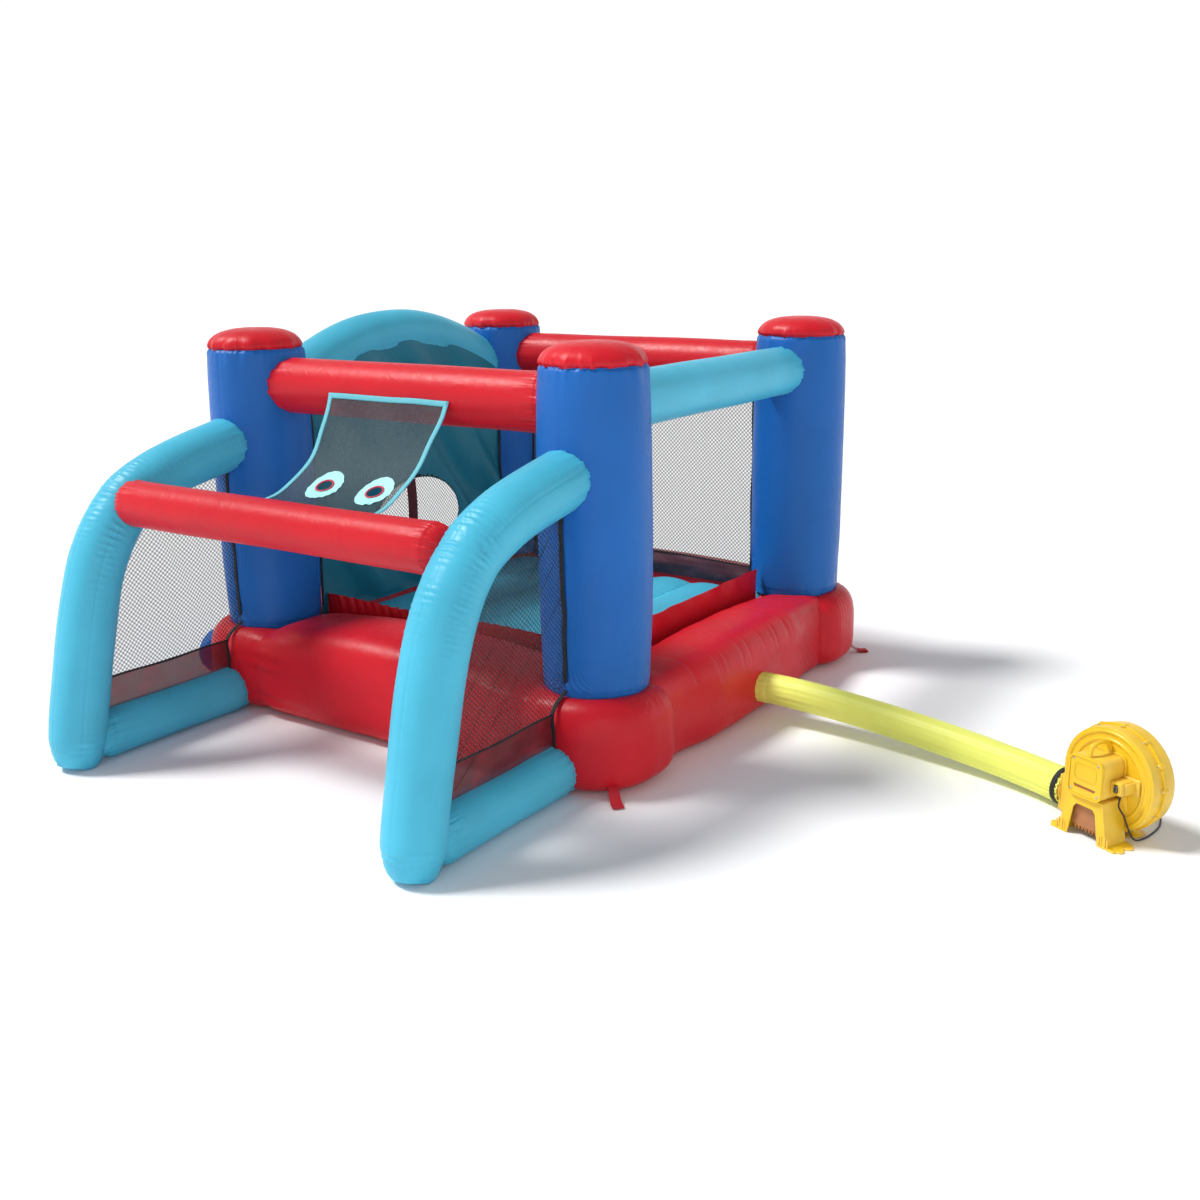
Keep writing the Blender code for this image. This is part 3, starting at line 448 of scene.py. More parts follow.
def object_of(name, verts, faces, look, replaces=None, slot=None, flat=None):
    """A smooth mesh on the house's body, in its look's material. The argument slot is not used."""
    material, own_slot = LOOKS[look]
    me = bpy.data.meshes.new(name)
    me.from_pydata([tuple(v) for v in verts], [], [tuple(f) for f in faces])
    me.update()
    if flat is not None:
        store = me.attributes.new("flat", "FLOAT_VECTOR", "POINT")
        store.data.foreach_set("vector", np.asarray(flat, np.float32).ravel())
    me.materials.append(material)
    me.shade_smooth()
    ob = linked(name, me)
    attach(ob, HOUSE)
    if replaces:
        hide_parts(replaces)
    return ob


def surface(name, points, look, wrap=True, close=(False, False), **more):
    """A grid of points as a mesh. wrap joins its last column to its first, and close caps
    its first and last rows with a fan."""
    rows, columns = points.shape[:2]
    i, j = np.meshgrid(np.arange(rows - 1), np.arange(columns - (not wrap)), indexing="ij")
    k = (j + 1) % columns
    quads = np.stack([i * columns + j, i * columns + k, (i + 1) * columns + k,
                      (i + 1) * columns + j], axis=-1)
    faces = quads.reshape(-1, 4).tolist()
    verts = points.reshape(-1, 3)
    for end, row in ((0, 0), (1, rows - 1)):
        if close[end]:
            centre = len(verts)
            verts = np.vstack([verts, points[row].mean(axis=0)])
            for j in range(columns):
                a, b = row * columns + j, row * columns + (j + 1) % columns
                faces.append((b, a, centre) if end == 0 else (a, b, centre))
    return object_of(name, verts, faces, look, **more)


def curve_through(points, count):
    """Catmull-Rom curve through the points as an array, evenly spaced by length."""
    p = np.array(points, float)
    p = np.vstack([2 * p[0] - p[1], p, 2 * p[-1] - p[-2]])
    out = []
    for i in range(len(p) - 3):
        t = np.linspace(0, 1, 40, endpoint=False)[:, None]
        a, b, c, d = p[i:i + 4]
        out.append(0.5 * (2 * b + (c - a) * t + (2 * a - 5 * b + 4 * c - d) * t ** 2
                          + (3 * b - a - 3 * c + d) * t ** 3))
    line = np.vstack(out + [p[-2:-1]])
    return evenly(line, np.linspace(0, lengths(line)[-1], count))


def sweep(line, radius, around, aside):
    """A tube's points along a line, their outward directions and their angles.
    aside is a fixed direction across the line, where the angle is 0."""
    tangent = tangents(line)
    aside = np.array(aside, float)
    side = unit(aside - (tangent @ aside)[:, None] * tangent)
    up = np.cross(tangent, side)
    turn = full_turn(around)
    out = side[:, None] * np.cos(turn)[None, :, None] + up[:, None] * np.sin(turn)[None, :, None]
    radius = np.broadcast_to(radius, (len(line),))
    return line[:, None, :] + out * radius[:, None, None], out, turn


def seam_relief(turn, away, seed, size, reach, count):
    """Height of gathered cloth beside a seam: fine creases at it, broader ones further out."""
    d = np.maximum(away, 0)
    fine = gathers(turn, seed, count) * np.exp(-d / (reach * 0.45))
    broad = ridges(turn, seed + 1, count * 0.4) * np.exp(-d / reach) * 0.55
    return size * (fine + broad) - size * 1.6 * bell(d, reach * 0.16)


def slow_waves(a, b, seed, size, scale):
    """Very gentle unevenness over a surface, so that no tube is a perfect cylinder."""
    rng = np.random.default_rng(seed)
    total = 0
    for _ in range(5):
        ka, kb = rng.normal(0, scale, 2)
        total = total + np.cos(ka * a + kb * b + TWO_PI * rng.random())
    return size * total / 2.2


def crumple(a, b, seed, size, length):
    """Directionless crumple: a sum of waves of about the given length."""
    rng = np.random.default_rng(seed)
    total = np.zeros(np.broadcast(a, b).shape)
    for _ in range(9):
        way = rng.random() * TWO_PI
        k = TWO_PI / (length * (0.6 + 0.9 * rng.random()))
        total += np.cos(k * (a * math.cos(way) + b * math.sin(way)) + TWO_PI * rng.random())
    return size * total / 3


def ends_first(count, power=1.6):
    """Values from 0 to 1, closer together at both ends."""
    t = np.linspace(-1, 1, count)
    return 0.5 + 0.5 * np.sign(t) * (1 - (1 - np.abs(t)) ** power)


def straight(a, b, count=170):
    a, b = np.array(a, float), np.array(b, float)
    return a + (b - a) * ends_first(count)[:, None]


def lathe(name, profile, to_world, look, steps, axis="Y", **more):
    """A turned piece: (radius, height) pairs about its Y or Z axis, placed by a matrix."""
    turn = full_turn(steps)
    r, h = (np.array(column)[:, None] for column in zip(*profile))
    x, y = r * np.cos(turn), r * np.sin(turn)
    points = xyz(x, y, h) if axis == "Z" else xyz(x, h, y)
    return surface(name, moved(points, to_world), look, **more)


def rounded_box(name, low, high, bevel, look, **more):
    """A box in the blower's frame with rounded edges."""
    bm = bmesh.new()
    bmesh.ops.create_cube(bm, size=1)
    for v in bm.verts:
        v.co = Vector([low[i] + (v.co[i] + 0.5) * (high[i] - low[i]) for i in range(3)])
    bmesh.ops.bevel(bm, geom=bm.edges[:], offset=bevel, segments=3, profile=0.5, affect="EDGES")
    bm.transform(BLOWER)
    bm.verts.index_update()
    verts = [v.co[:] for v in bm.verts]
    faces = [[v.index for v in f.verts] for f in bm.faces]
    bm.free()
    ob = object_of(name, verts, faces, look, **more)
    ob.data.set_sharp_from_angle(angle=math.radians(40))
    return ob


# ---- cord: lead, coil and plug -------------------------------------------------------------
CORD_EXIT = (0.101, -0.112, 0.1861)
DOWN_STAND = ((0.117, -0.098, 0.120), (0.127, -0.068, 0.050), (0.129, -0.030, 0.012))
ON_GROUND = ((0.118, 0.060), (0.080, 0.170), (0.000, 0.270), (-0.100, 0.335), (-0.200, 0.355),
             (-0.250, 0.355))
# the coil's centre in x, and its far side in y, where the cord comes in
COIL_X, COIL_Y = -0.278, 0.355
TAIL = ((-0.288, 0.0182), (-0.300, 0.0165), (-0.310, 0.0135), (-0.318, 0.0112), (-0.322, 0.0108))


def coil_points(steps=28):
    """Five turns in three layers: each eases in, out or up to the next over its last quarter."""
    outer, inner = 0.0455, 0.0380
    low, mid, high = 0.0041, 0.0113, 0.0185
    turns = np.array([(outer, low), (inner, low), (inner, mid), (outer, mid), (outer, high),
                      (outer, high)])
    k = np.arange(5 * steps + 1)
    i = np.minimum(k // steps, 4)
    ease = eased((k / steps - i - 0.75) / 0.25)[:, None]
    r, z = (turns[i] + (turns[i + 1] - turns[i]) * ease).T
    a = math.pi / 2 + TWO_PI * k / steps
    return moved(xyz(COIL_X + r * np.cos(a), COIL_Y - outer + r * np.sin(a), z), BLOWER)


def rounded(wave, power):
    """A sine or cosine made squarer, for sections between a circle and a square."""
    return np.sign(wave) * np.abs(wave) ** power


def plug():
    """A moulded plug lying on the ground: a slim neck at the cord, a thick squarish body."""
    profile = ((0.0195, 0.0045, 0.0045), (0.0190, 0.0065, 0.0060), (0.0120, 0.0075, 0.0070),
               (0.0060, 0.0100, 0.0085), (0.0, 0.0125, 0.0096), (-0.0100, 0.0128, 0.0098),
               (-0.0180, 0.0125, 0.0096), (-0.0195, 0.0112, 0.0086))
    turn, middle_z = full_turn(32), 0.0107
    rows = [xyz(x - 0.337, 0.355 + w * rounded(np.cos(turn), 0.6),
                middle_z + h * rounded(np.sin(turn), 0.6)) for x, w, h in profile]
    return surface("plug_body", moved(np.array(rows), BLOWER), "rubber",
                   close=(True, True), replaces="cord_plug")


def cord():
    """The power lead: down the stand, round behind the casing, the coil and the plug."""
    exit_at = local(*CORD_EXIT)
    ground_z = CORD_D / 2 + 0.0006
    route = [exit_at, exit_at + Vector((0, 0, -0.03))]
    route += [local(*at) for at in DOWN_STAND]
    route += [local(x, y, ground_z) for x, y in ON_GROUND]
    lead = curve_through(route, 90)
    lead[:, 2] = np.maximum(lead[:, 2], ground_z)
    tail = [tuple(local(x, COIL_Y, z)) for x, z in TAIL]
    points = np.vstack([lead[:-1], coil_points(), tail])
    data = bpy.data.curves.new("power_cord", "CURVE")
    data.dimensions, data.bevel_depth, data.bevel_resolution = "3D", CORD_D / 2, 3
    data.use_fill_caps = True
    spline = data.splines.new("POLY")
    spline.points.add(len(points) - 1)
    for target, p in zip(spline.points, points):
        target.co = (*p, 1)
    spline.use_smooth = True
    data.materials.append(LOOKS["rubber"][0])
    ob = linked("power_cord", data)
    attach(ob, HOUSE)
    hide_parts("cord_lead", "cord_coil")
    plug()


# ---- inflated tubes ------------------------------------------------------------------------
# where cloth is sewn to a column's foot: the angle round the column and the size of its fan
FAN = {"front_right": [(math.radians(-90), 0.0042)],
       "front_left": [(math.radians(-90), 0.0042), (math.radians(28), 0.0026)],
       "rear_right": [(math.radians(207), 0.0035)],
       "rear_left": [(math.radians(-28), 0.0026)]}
# middle line of a side arch in the y-z plane, from the column to the foot
BAY_LINE = [(-0.97, 1.357), (-1.195, 1.31), (-1.465, 1.255), (-1.625, 1.205), (-1.765, 1.135),
            (-1.865, 1.035), (-1.935, 0.93), (-1.985, 0.82), (-2.030, 0.68), (-2.068, 0.53),
            (-2.103, 0.38), (-2.133, 0.24), (-2.152, 0.13), (-2.160, 0.075)]
BASE_FRONT_Y, FOOT_Y, CROSS_HALF_X = -1.2895, -2.1605, 0.936
SLEEVE_START, SLEEVE_R = (1.290, 0, 0.155), 0.0722


def column(where, seed):
    """Corner column: gathered against its cap, creased along its binding, puckered at its foot."""
    x, y = COLUMNS[where]
    profile = [(BASE_TOP - 0.035, 0.222), (BASE_TOP, 0.2265), (0.455, 0.2285), (0.50, 0.2300),
               (0.70, 0.2365), (1.05, COL_R), (1.45, 0.2365), (1.62, 0.2335), (1.68, 0.230),
               (CAP_SEAM - 0.02, 0.2260), (CAP_SEAM - 0.0005, 0.2190)]
    z = BASE_TOP - 0.035 + (CAP_SEAM - BASE_TOP + 0.0345) * ends_first(230)
    r = smoothed(np.interp(z, *zip(*profile)), 4)
    zz, tt = np.meshgrid(z, full_turn(200), indexing="ij")
    height = seam_relief(tt, CAP_SEAM - zz, seed, 0.0042, 0.060, 34)
    height += seam_relief(tt, zz - BASE_TOP, seed + 5, 0.0016, 0.060, 40)
    up = clipped((zz - BASE_TOP) / 0.75)
    for angle, size in FAN[where]:
        gap = turn_gap(tt, angle)
        lines = np.cos(gap * 46 / (0.25 + up) + 2.0 * up) * bell(gap, 0.10 + 0.30 * (1 - up))
        height += 1.5 * size * lines * (1 - up) ** 1.3 * clipped((zz - BASE_TOP) / 0.04)
        height -= 0.007 * bell(gap, 0.035) * clipped(1.25 - up)
    height += slow_waves(np.cos(tt), zz, seed + 9, 0.0018, 3.0)
    radius = r[:, None] + height
    surface("column_fabric_" + where, xyz(x + radius * np.cos(tt), y + radius * np.sin(tt), zz),
            "blue", close=(False, True), replaces="column_" + where)


def cap(where, seed):
    """Domed cap, gathered into the column's seam, with a sewn ridge just above it."""
    x, y = COLUMNS[where]
    rings, around, radius = 90, 240, 0.2215
    tt = np.broadcast_to(full_turn(around), (rings, around))
    a = (ends_first(rings, 1.3) * 0.5 * math.pi)[:, None]
    r = radius * np.cos(a) ** 0.72
    z = CAP_SEAM - 0.004 + (CAP_TOP - CAP_SEAM + 0.001) * np.sin(a) ** 0.82
    away = (radius - r) * 1.2 + (z - CAP_SEAM + 0.004) * 0.8
    height = seam_relief(tt, np.broadcast_to(away, tt.shape), seed, 0.0060, 0.050, 30)
    height += slow_waves(np.cos(tt) * r, np.sin(tt) * r, seed + 3, 0.0020, 9.0) * (r / 0.22)
    out = np.maximum(r + height * np.cos(a), 0.0)
    out[-1] = 0.0005
    points = xyz(x + out * np.cos(tt), y + out * np.sin(tt), z + height * np.sin(a) * 0.9)
    surface("cap_fabric_" + where, points, "red", close=(False, True),
            replaces="cap_" + where)


def beside(*columns):
    """For each column, the distance from points to its surface, in plan."""
    return [lambda p, at=COLUMNS[name]: np.hypot(p[..., 0] - at[0], p[..., 1] - at[1]) - COL_R
            for name in columns]


def tube(name, line, radius, look, aside, seams=(), seed=1, creases=None, waves=0.0016, **more):
    """A fabric tube along a line, gathered near each seam. A seam is a function that gives
    the distance from points to what the tube is sewn to."""
    points, out, turn = sweep(line, radius, 160, aside)
    tt = np.broadcast_to(turn, points.shape[:2])
    height = slow_waves(np.cos(tt), np.arange(len(line))[:, None] / 18, seed, waves, 1.2)
    for i, away in enumerate(seams):
        height = height + seam_relief(tt, away(points), seed + 11 * (i + 1), 0.0026, 0.055, 34)
    if creases is not None:
        height = height + creases(tt)
    points = points + out * height[..., None]
    points[..., 2] = np.maximum(points[..., 2], 0.0006)
    return surface(name, points, look, **more)


def beams():
    """Three straight beams that tuck into the columns at both ends."""
    tuck = COL_R - 0.044
    x, y = COL_X - tuck, COL_Y - tuck
    for name, start, end, radius, look, columns, seed in (
            ("beam_front", (-x, -COL_Y), (x, -COL_Y), BEAM_R, "red",
             ("front_left", "front_right"), 40),
            ("beam_rear", (-x, COL_Y), (x, COL_Y), BEAM_R, "red",
             ("rear_left", "rear_right"), 41),
            ("beam_right", (COL_X, -y), (COL_X, y), BEAM_SIDE_R, "cyan",
             ("front_right", "rear_right"), 52)):
        tube(name + "_fabric", straight((*start, BEAM_Z), (*end, BEAM_Z)), radius - SLIM, look,
             (0, 0, 1), beside(*columns), seed, replaces=name)


def side_creases(line, full_bend, seams, seed, size):
    """Crosswise puckers along the seam lines of a bent tube, strongest where it bends most.
    seams holds each seam's angle round the tube."""
    s = lengths(line)
    bend = np.linalg.norm(np.gradient(tangents(line), axis=0), axis=1) / np.gradient(s)
    strong = np.clip(smoothed(bend, 10) / full_bend, 0.12, 1.0)[:, None]

    def creases(tt):
        total = np.zeros(tt.shape)
        for k, at in enumerate(seams):
            rng = np.random.default_rng(seed + k)
            gap = turn_gap(tt, at)
            wave = np.zeros(tt.shape)
            for _ in range(6):
                f = TWO_PI / (0.016 + 0.016 * rng.random())
                wave += np.cos(f * s[:, None] + 2.2 * gap * rng.normal() + TWO_PI * rng.random())
            wave = wave / 1.8
            wave = 0.5 * wave - 0.8 * bell(wave, 0.5)
            total += size * strong * wave * bell(gap, 0.42) - 0.0020 * bell(gap, 0.035)
        return total
    return creases


def arch_beam():
    """The high arched beam over the left wall."""
    ys = np.linspace(-COL_Y + 0.17, COL_Y - 0.17, 170)
    line = xyz(-COL_X, ys, ARCH_PEAK - ARCH_SAG * ys ** 2)
    tube("arch_beam_fabric", line, ARCH_R - SLIM, "cyan", (1, 0, 0),
         beside("front_left", "rear_left"), 61, replaces="arch_beam_left",
         creases=side_creases(line, 0.9, (0.35, math.pi - 0.35), 66, 0.0016))


def side_arch(side, s):
    """A light blue arch from the front column down to a rounded foot on the ground."""
    curve = curve_through(BAY_LINE, 330)[12:]
    foot_z = np.array([0.060, 0.045, 0.032, 0.021, 0.012, 0.006, 0.0025])
    line = np.vstack([xyz(s * COL_X, curve[:, 0], curve[:, 1]),
                      xyz(s * COL_X, FOOT_Y - 0.0010 * np.arange(len(foot_z)), foot_z)])
    radius = np.full(len(line), BAY_R - SLIM)
    low = line[:, 2] < 0.13
    radius[low] *= 0.50 + 0.50 * (line[low, 2] / 0.13) ** 0.42
    seams = (0.45, math.pi - 0.45, math.pi / 2 * 1.02)
    tube("side_arch_fabric_" + side, line, radius, "cyan", (1, 0, 0), beside("front_" + side),
         70 + s, side_creases(line, 2.4, seams, 75 + s, 0.0042), close=(False, True),
         replaces="side_arch_" + side)


def ground_tube(side, s):
    """The low tube between the base and the side arch's foot."""
    line = straight((s * COL_X, -2.148, GROUND_R), (s * COL_X, -COL_Y - 0.28, GROUND_R))
    toe = clipped((-2.03 - line[:, 1]) / 0.121)
    radius = (GROUND_R - SLIM) * np.sqrt(1 - toe ** 2)
    line[:, 2] = radius + SLIM

    def at_base(p):
        return BASE_FRONT_Y - 0.0005 - p[..., 1]

    def at_post(p):
        return p[..., 1] + 2.145 - BAY_R - 0.10 * (p[..., 2] - GROUND_R)

    tube("ground_tube_fabric_" + side, line, radius, "cyan", (1, 0, 0), [at_base, at_post],
         80 + s, close=(True, False), replaces="ground_tube_" + side)


def crossbar():
    """The red bar between the side arches, rounded at both ends."""
    line = straight((-CROSS_HALF_X, CROSS.y, CROSS.z), (CROSS_HALF_X, CROSS.y, CROSS.z), 220)
    end = clipped((np.abs(line[:, 0]) - 0.850) / 0.087)
    tube("crossbar_fabric", line, (CROSS_R - SLIM) * np.sqrt(1 - end ** 2), "red", (0, 0, 1),
         [lambda p: 0.868 - np.abs(p[..., 0])], 90, close=(True, True),
         replaces="crossbar_front")


def bolster():
    """The blue side bolster, closed at both ends."""
    low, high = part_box("bolster_left")
    y = low.y + (high.y - low.y) * ends_first(200, 1.5)
    near_end = np.minimum(y - low.y, high.y - y)
    r = np.maximum((high.x - low.x) / 2 * clipped(near_end / 0.115) ** 0.42, 0.004)
    line = xyz((low.x + high.x) / 2, y, (low.z + high.z) / 2)
    tube("bolster_fabric", line, r - 0.002, "blue", (0, 0, 1),
         [lambda p: np.minimum(p[..., 1] - low.y, high.y - p[..., 1]) - 0.055], 95,
         close=(True, True), replaces="bolster_left")


def air_sleeve():
    """The feed tube: a folded cuff at the base, faint long creases, strapped to the blower."""
    collar = local(*COLLAR_AT)
    back = BLOWER.to_3x3() @ Vector((-1, 0, 0))
    neck = collar + back * 0.075
    first = Vector(SLEEVE_START)
    start = first + Vector((0.035, 0, 0))
    a, b, c, d = (np.array(p) for p in (start, start + Vector((0.38, 0, 0)),
                                        neck + back * 0.42, neck))
    t = np.linspace(0, 1, 240)[:, None]
    bend = a * (1 - t) ** 3 + 3 * b * t * (1 - t) ** 2 + 3 * c * t * t * (1 - t) + d * t ** 3
    bend[:, 2] = np.maximum(bend[:, 2], SLEEVE_R + SLIM)
    head = np.linspace(np.array(first) + [-0.012, 0, 0], a, 24)[:-1]
    tail = np.linspace(d, np.array(collar), 26)[1:]
    line = np.vstack([head, bend, tail])
    s = lengths(line)
    left = s[-1] - s
    radius = SLEEVE_R - 0.0016 * bell(left - 0.022, 0.016) + 0.0012 * bell(s - 0.045, 0.010)
    s, left = s[:, None], left[:, None]

    def creases(tt):
        long_way = ridges(tt, 301, 13) * 0.0011 * (0.3 + np.exp(-s / 0.35) + np.exp(-left / 0.30))
        tie = gathers(tt, 302, 24) * 0.0034 * bell(left - 0.022, 0.045)
        cuff = gathers(tt, 303, 30) * 0.0020 * bell(s, 0.060)
        return long_way + tie + cuff - 0.0016 * bell(s - 0.060, 0.006)

    tube("air_sleeve_fabric", line, radius, "sleeve", (0, 0, 1), seed=310, creases=creases,
         waves=0.0008, replaces="air_sleeve")


# ---- base and floor ------------------------------------------------------------------------
END_HALF_X, END_INNER_Y, OUTER_CORNER_R, INNER_CORNER_R = 1.3065, 0.735, 0.30, 0.17
SIDE_INNER_X, SIDE_OUTER_X, SIDE_HALF_Y = 0.8725, 1.2845, 0.90
NOTCH_HALF_X, NOTCH_DEPTH, WAIST_DEPTH = 0.862, 0.203, 0.050
FLOOR_CHANNELS = 7


def rounded_outline(x0, x1, y0, y1, radii):
    """Counterclockwise rectangle with its own radius at each corner, evenly spaced points."""
    corners = ((x1, y0, -90, -1, 1), (x1, y1, 0, -1, -1), (x0, y1, 90, 1, -1), (x0, y0, 180, 1, 1))
    points = []
    for (x, y, start, sx, sy), r in zip(corners, radii):
        t = np.radians(np.linspace(start, start + 90, 24))
        points += list(zip(x + sx * r + r * np.cos(t), y + sy * r + r * np.sin(t)))
    line = np.array(points + points[:1])
    whole, spacing = lengths(line)[-1], 0.009
    return evenly(line, np.linspace(0, whole, int(whole / spacing), endpoint=False))


def column_marks(points, seed):
    """Gathers on the base that run out from under each column's foot."""
    total = np.zeros(points.shape[:2])
    on_top = clipped((points[..., 2] - 0.02) / 0.35)
    for i, (x, y) in enumerate(COLUMNS.values()):
        dx, dy = points[..., 0] - x, points[..., 1] - y
        away, turn = np.hypot(dx, dy) - 0.216, np.arctan2(dy, dx)
        outside = np.maximum(away, 0)
        mask = np.clip(0.35 + 0.9 * ridges(turn, seed + 31 + i, 3), 0.08, 1)
        lines = gathers(turn, seed + i, 64) * np.exp(-outside / 0.14) * mask
        total += 0.0026 * lines * on_top * (away > -0.02)
        total -= 0.010 * bell(outside, 0.016) * (away > -0.05) * on_top
    return total


def pillow(name, outline, spine, swell, bumps):
    """A base tube: each outline point is joined over the top and under to the spine.
    swell raises the top, and bumps gives the height of the folds at the points."""
    a = np.radians(np.r_[np.linspace(-90, -35, 14), np.linspace(-32, 60, 58),
                         np.linspace(62, 90, 26)])[:, None]
    power, mid = 2 / 3.7, 0.17
    up = rounded(np.sin(a), power)
    z = np.where(up > 0, mid + up * (BASE_TOP + swell - mid), mid + up * mid)
    xy = spine + (outline - spine) * (np.abs(np.cos(a)) ** power)[..., None]
    points = np.concatenate([xy, z[..., None]], axis=2)
    along = unit(np.roll(outline, -1, axis=0) - np.roll(outline, 1, axis=0))
    lean = xyz(along[:, 1] * np.cos(a), -along[:, 0] * np.cos(a), np.sin(a))
    points = points + lean * bumps(points)[..., None]
    points[..., 2] = np.maximum(points[..., 2], 0.0005)
    surface("base_fabric_" + name, points, "red", replaces="base_" + name)


def end_tube(name, s, rise):
    """The front or rear tube of the base, which carries two columns."""
    low, high = sorted((s * END_INNER_Y, -s * BASE_FRONT_Y))
    outer, inner = (OUTER_CORNER_R,), (INNER_CORNER_R,)
    radii = outer + 2 * inner + outer if s < 0 else inner + 2 * outer + inner
    outline = rounded_outline(-END_HALF_X, END_HALF_X, low, high, radii)
    x, y = outline[:, 0], outline[:, 1]
    if name == "rear":
        # the floor runs on under the rear net, so this tube steps back between its columns
        step = NOTCH_DEPTH * eased((NOTCH_HALF_X - np.abs(x)) / 0.055)
        y = np.where(y < 0.95, np.maximum(y, low + step), y)
        outline[:, 1] = y
    spine = np.stack([np.clip(x, -1.03, 1.03), np.full(len(x), (low + high) / 2 + 0.02 * s)], 1)
    soft = 1 - clipped(np.abs(x) / 0.80) ** 2.4
    seed = 400 + 20 * s

    def bumps(p):
        px, pz = p[..., 0], p[..., 2]
        stretch = ridges(pz * 9 + 0.4 * px, seed + 7, 9) * 0.0024 * bell(np.abs(px) - 0.70, 0.16)
        bulge = 0.006 * soft - 0.012 * bell(np.abs(px) - 0.80, 0.05)
        return column_marks(p, seed) + stretch + bulge + crumple(px, pz, seed + 8, 0.0012, 0.30)

    pillow(name, outline, spine, rise * soft, bumps)


def side_tube(name, s):
    """The left or right tube of the base, drawn in on its outside near the columns."""
    x0, x1 = sorted((s * SIDE_INNER_X, s * SIDE_OUTER_X))
    outline = rounded_outline(x0, x1, -SIDE_HALF_Y, SIDE_HALF_Y, (0.04,) * 4)
    x, y = outline[:, 0], outline[:, 1]
    spine = np.stack([np.full(len(x), (x0 + x1) / 2), np.clip(y, -0.86, 0.86)], axis=1)
    waist = WAIST_DEPTH * eased((np.abs(y) - 0.34) / 0.36)
    outline[:, 0] = x - s * np.where(x * s > abs(x0 + x1) / 2, waist, 0)
    soft = 1 - clipped(np.abs(y) / 0.72) ** 2.2
    seed = 500 + 20 * s

    def bumps(p):
        py, pz = p[..., 1], p[..., 2]
        rng = np.random.default_rng(seed)
        pulls = np.zeros(py.shape)
        for _ in range(16):
            at, slant = -0.72 + 1.44 * rng.random(), 0.10 + 0.25 * rng.random()
            width, size = 0.008 + 0.008 * rng.random(), 0.002 + 0.004 * rng.random()
            pulls -= size * bell(py - at + slant * (pz - 0.38), width) * bell(pz - 0.37, 0.07)
        return column_marks(p, seed) * 0.8 + pulls + crumple(py, pz, seed + 8, 0.0015, 0.28)

    pillow(name, outline, spine, 0.029 * soft - 0.012 * (1 - soft), bumps)


def bounce_floor():
    """The jumping floor: long air channels between sewn seams, puckered along each seam."""
    low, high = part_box("bounce_floor")
    x = np.linspace(low.x, high.x, 420)[:, None]
    y = np.linspace(low.y, high.y, 260)[None, :]
    width = (high.x - low.x) / FLOOR_CHANNELS
    phase = ((x - low.x) / width) % 1.0
    lift = np.abs(np.sin(math.pi * phase)) ** 0.62
    from_seam = np.minimum(phase, 1 - phase) * width
    rng = np.random.default_rng(77)
    pucker = 0
    for _ in range(6):
        f = TWO_PI / (0.030 + 0.035 * rng.random())
        pucker = pucker + np.cos(f * y + TWO_PI * rng.random() + 3 * x)
    pucker = pucker / 2 * 0.0030 * np.exp(-from_seam / 0.022)
    edge = np.minimum(np.minimum(x - low.x, high.x - x), np.minimum(y - low.y, high.y - y))
    round_off = 0.030 * np.exp(-np.maximum(edge, 0) / 0.020)
    z = FLOOR_TOP - 0.026 + 0.024 * lift + pucker - round_off + crumple(x, y, 78, 0.0008, 0.4)
    points = xyz(x, y, np.minimum(z, FLOOR_TOP + 0.004))
    rim = np.concatenate([points[:, 0], points[-1, 1:], points[-2::-1, -1], points[0, -2:0:-1]])
    surface("bounce_floor_fabric", points, "floor", wrap=False, replaces="bounce_floor")
    surface("bounce_floor_skirt", np.stack([rim, rim * [1, 1, 0] + [0, 0, 0.002]]), "floor")


# ---- sheets: wall, window, nets, hems and sills --------------------------------------------
WINDOW_Y, WINDOW_Z, WINDOW_HALF, WINDOW_UP, WINDOW_DOWN = 0.010, 0.745, 0.350, 0.235, 0.160
WALL_HALF_Y, SILL_HALF_Y, SILL_TOP = 0.762, 0.742, 0.527
NET_LEFT, NET_RIGHT, NET_WAIST = -0.360, 0.320, 0.030
TARGET_HALF_X, TARGET_HALF_S = 0.082, 0.098
# the ball net's line in the y-z plane, from the front beam to the crossbar
NET_LINE = [(-COL_Y - BEAM_R - 0.003, 1.575), (-1.170, 1.445), (-1.255, 1.335), (-1.360, 1.243),
            (-1.480, 1.185), (-1.610, 1.160), (CROSS.y + 0.098 + 0.004, 1.160)]


def sheet(name, points, look, size, rests_on, flat=None, area=None, held="stretched", trims=(),
          **more):
    """A sheet of cloth from a grid of points. flat holds each point's place on the sheet laid
    flat, for the weave; where it isn't given, it is measured along the grid."""
    if flat is None:
        u = np.r_[0, np.cumsum(np.linalg.norm(np.diff(points, axis=1), axis=2).mean(axis=0))]
        v = np.r_[0, np.cumsum(np.linalg.norm(np.diff(points, axis=0), axis=2).mean(axis=1))]
        flat = xyz(u, v[:, None], 0)
    ob = surface(name, points, look, wrap=False, flat=flat.reshape(-1, 3), **more)


def side_on(points):
    """Flat coordinates of a sheet that stands in the y-z plane."""
    return xyz(points[..., 1], points[..., 2], 0)


def ribbon(name, line, across, width, look, thick, **more):
    """A flat strap along a line; across gives its width direction at each point."""
    across = np.broadcast_to(np.array(across, float), line.shape)
    out = unit(np.cross(np.gradient(line, axis=0), across))
    section = [(-1, -1), (-0.55, -1), (0, -1), (0.55, -1), (1, -1), (1.06, 0), (1, 1), (0.5, 1.25),
               (0, 1.35), (-0.5, 1.25), (-1, 1), (-1.06, 0)]
    rows = [line + across * (a * width / 2) + out * (b * thick / 2) for a, b in section]
    return surface(name, np.stack(rows, axis=1), look, close=(True, True), **more)


def arch_under(y):
    """Height of the arched beam's underside over the left wall."""
    drop = math.sqrt(ARCH_R ** 2 - (COL_X - PANEL_X) ** 2) - 0.012
    return ARCH_PEAK - ARCH_SAG * y * y - drop


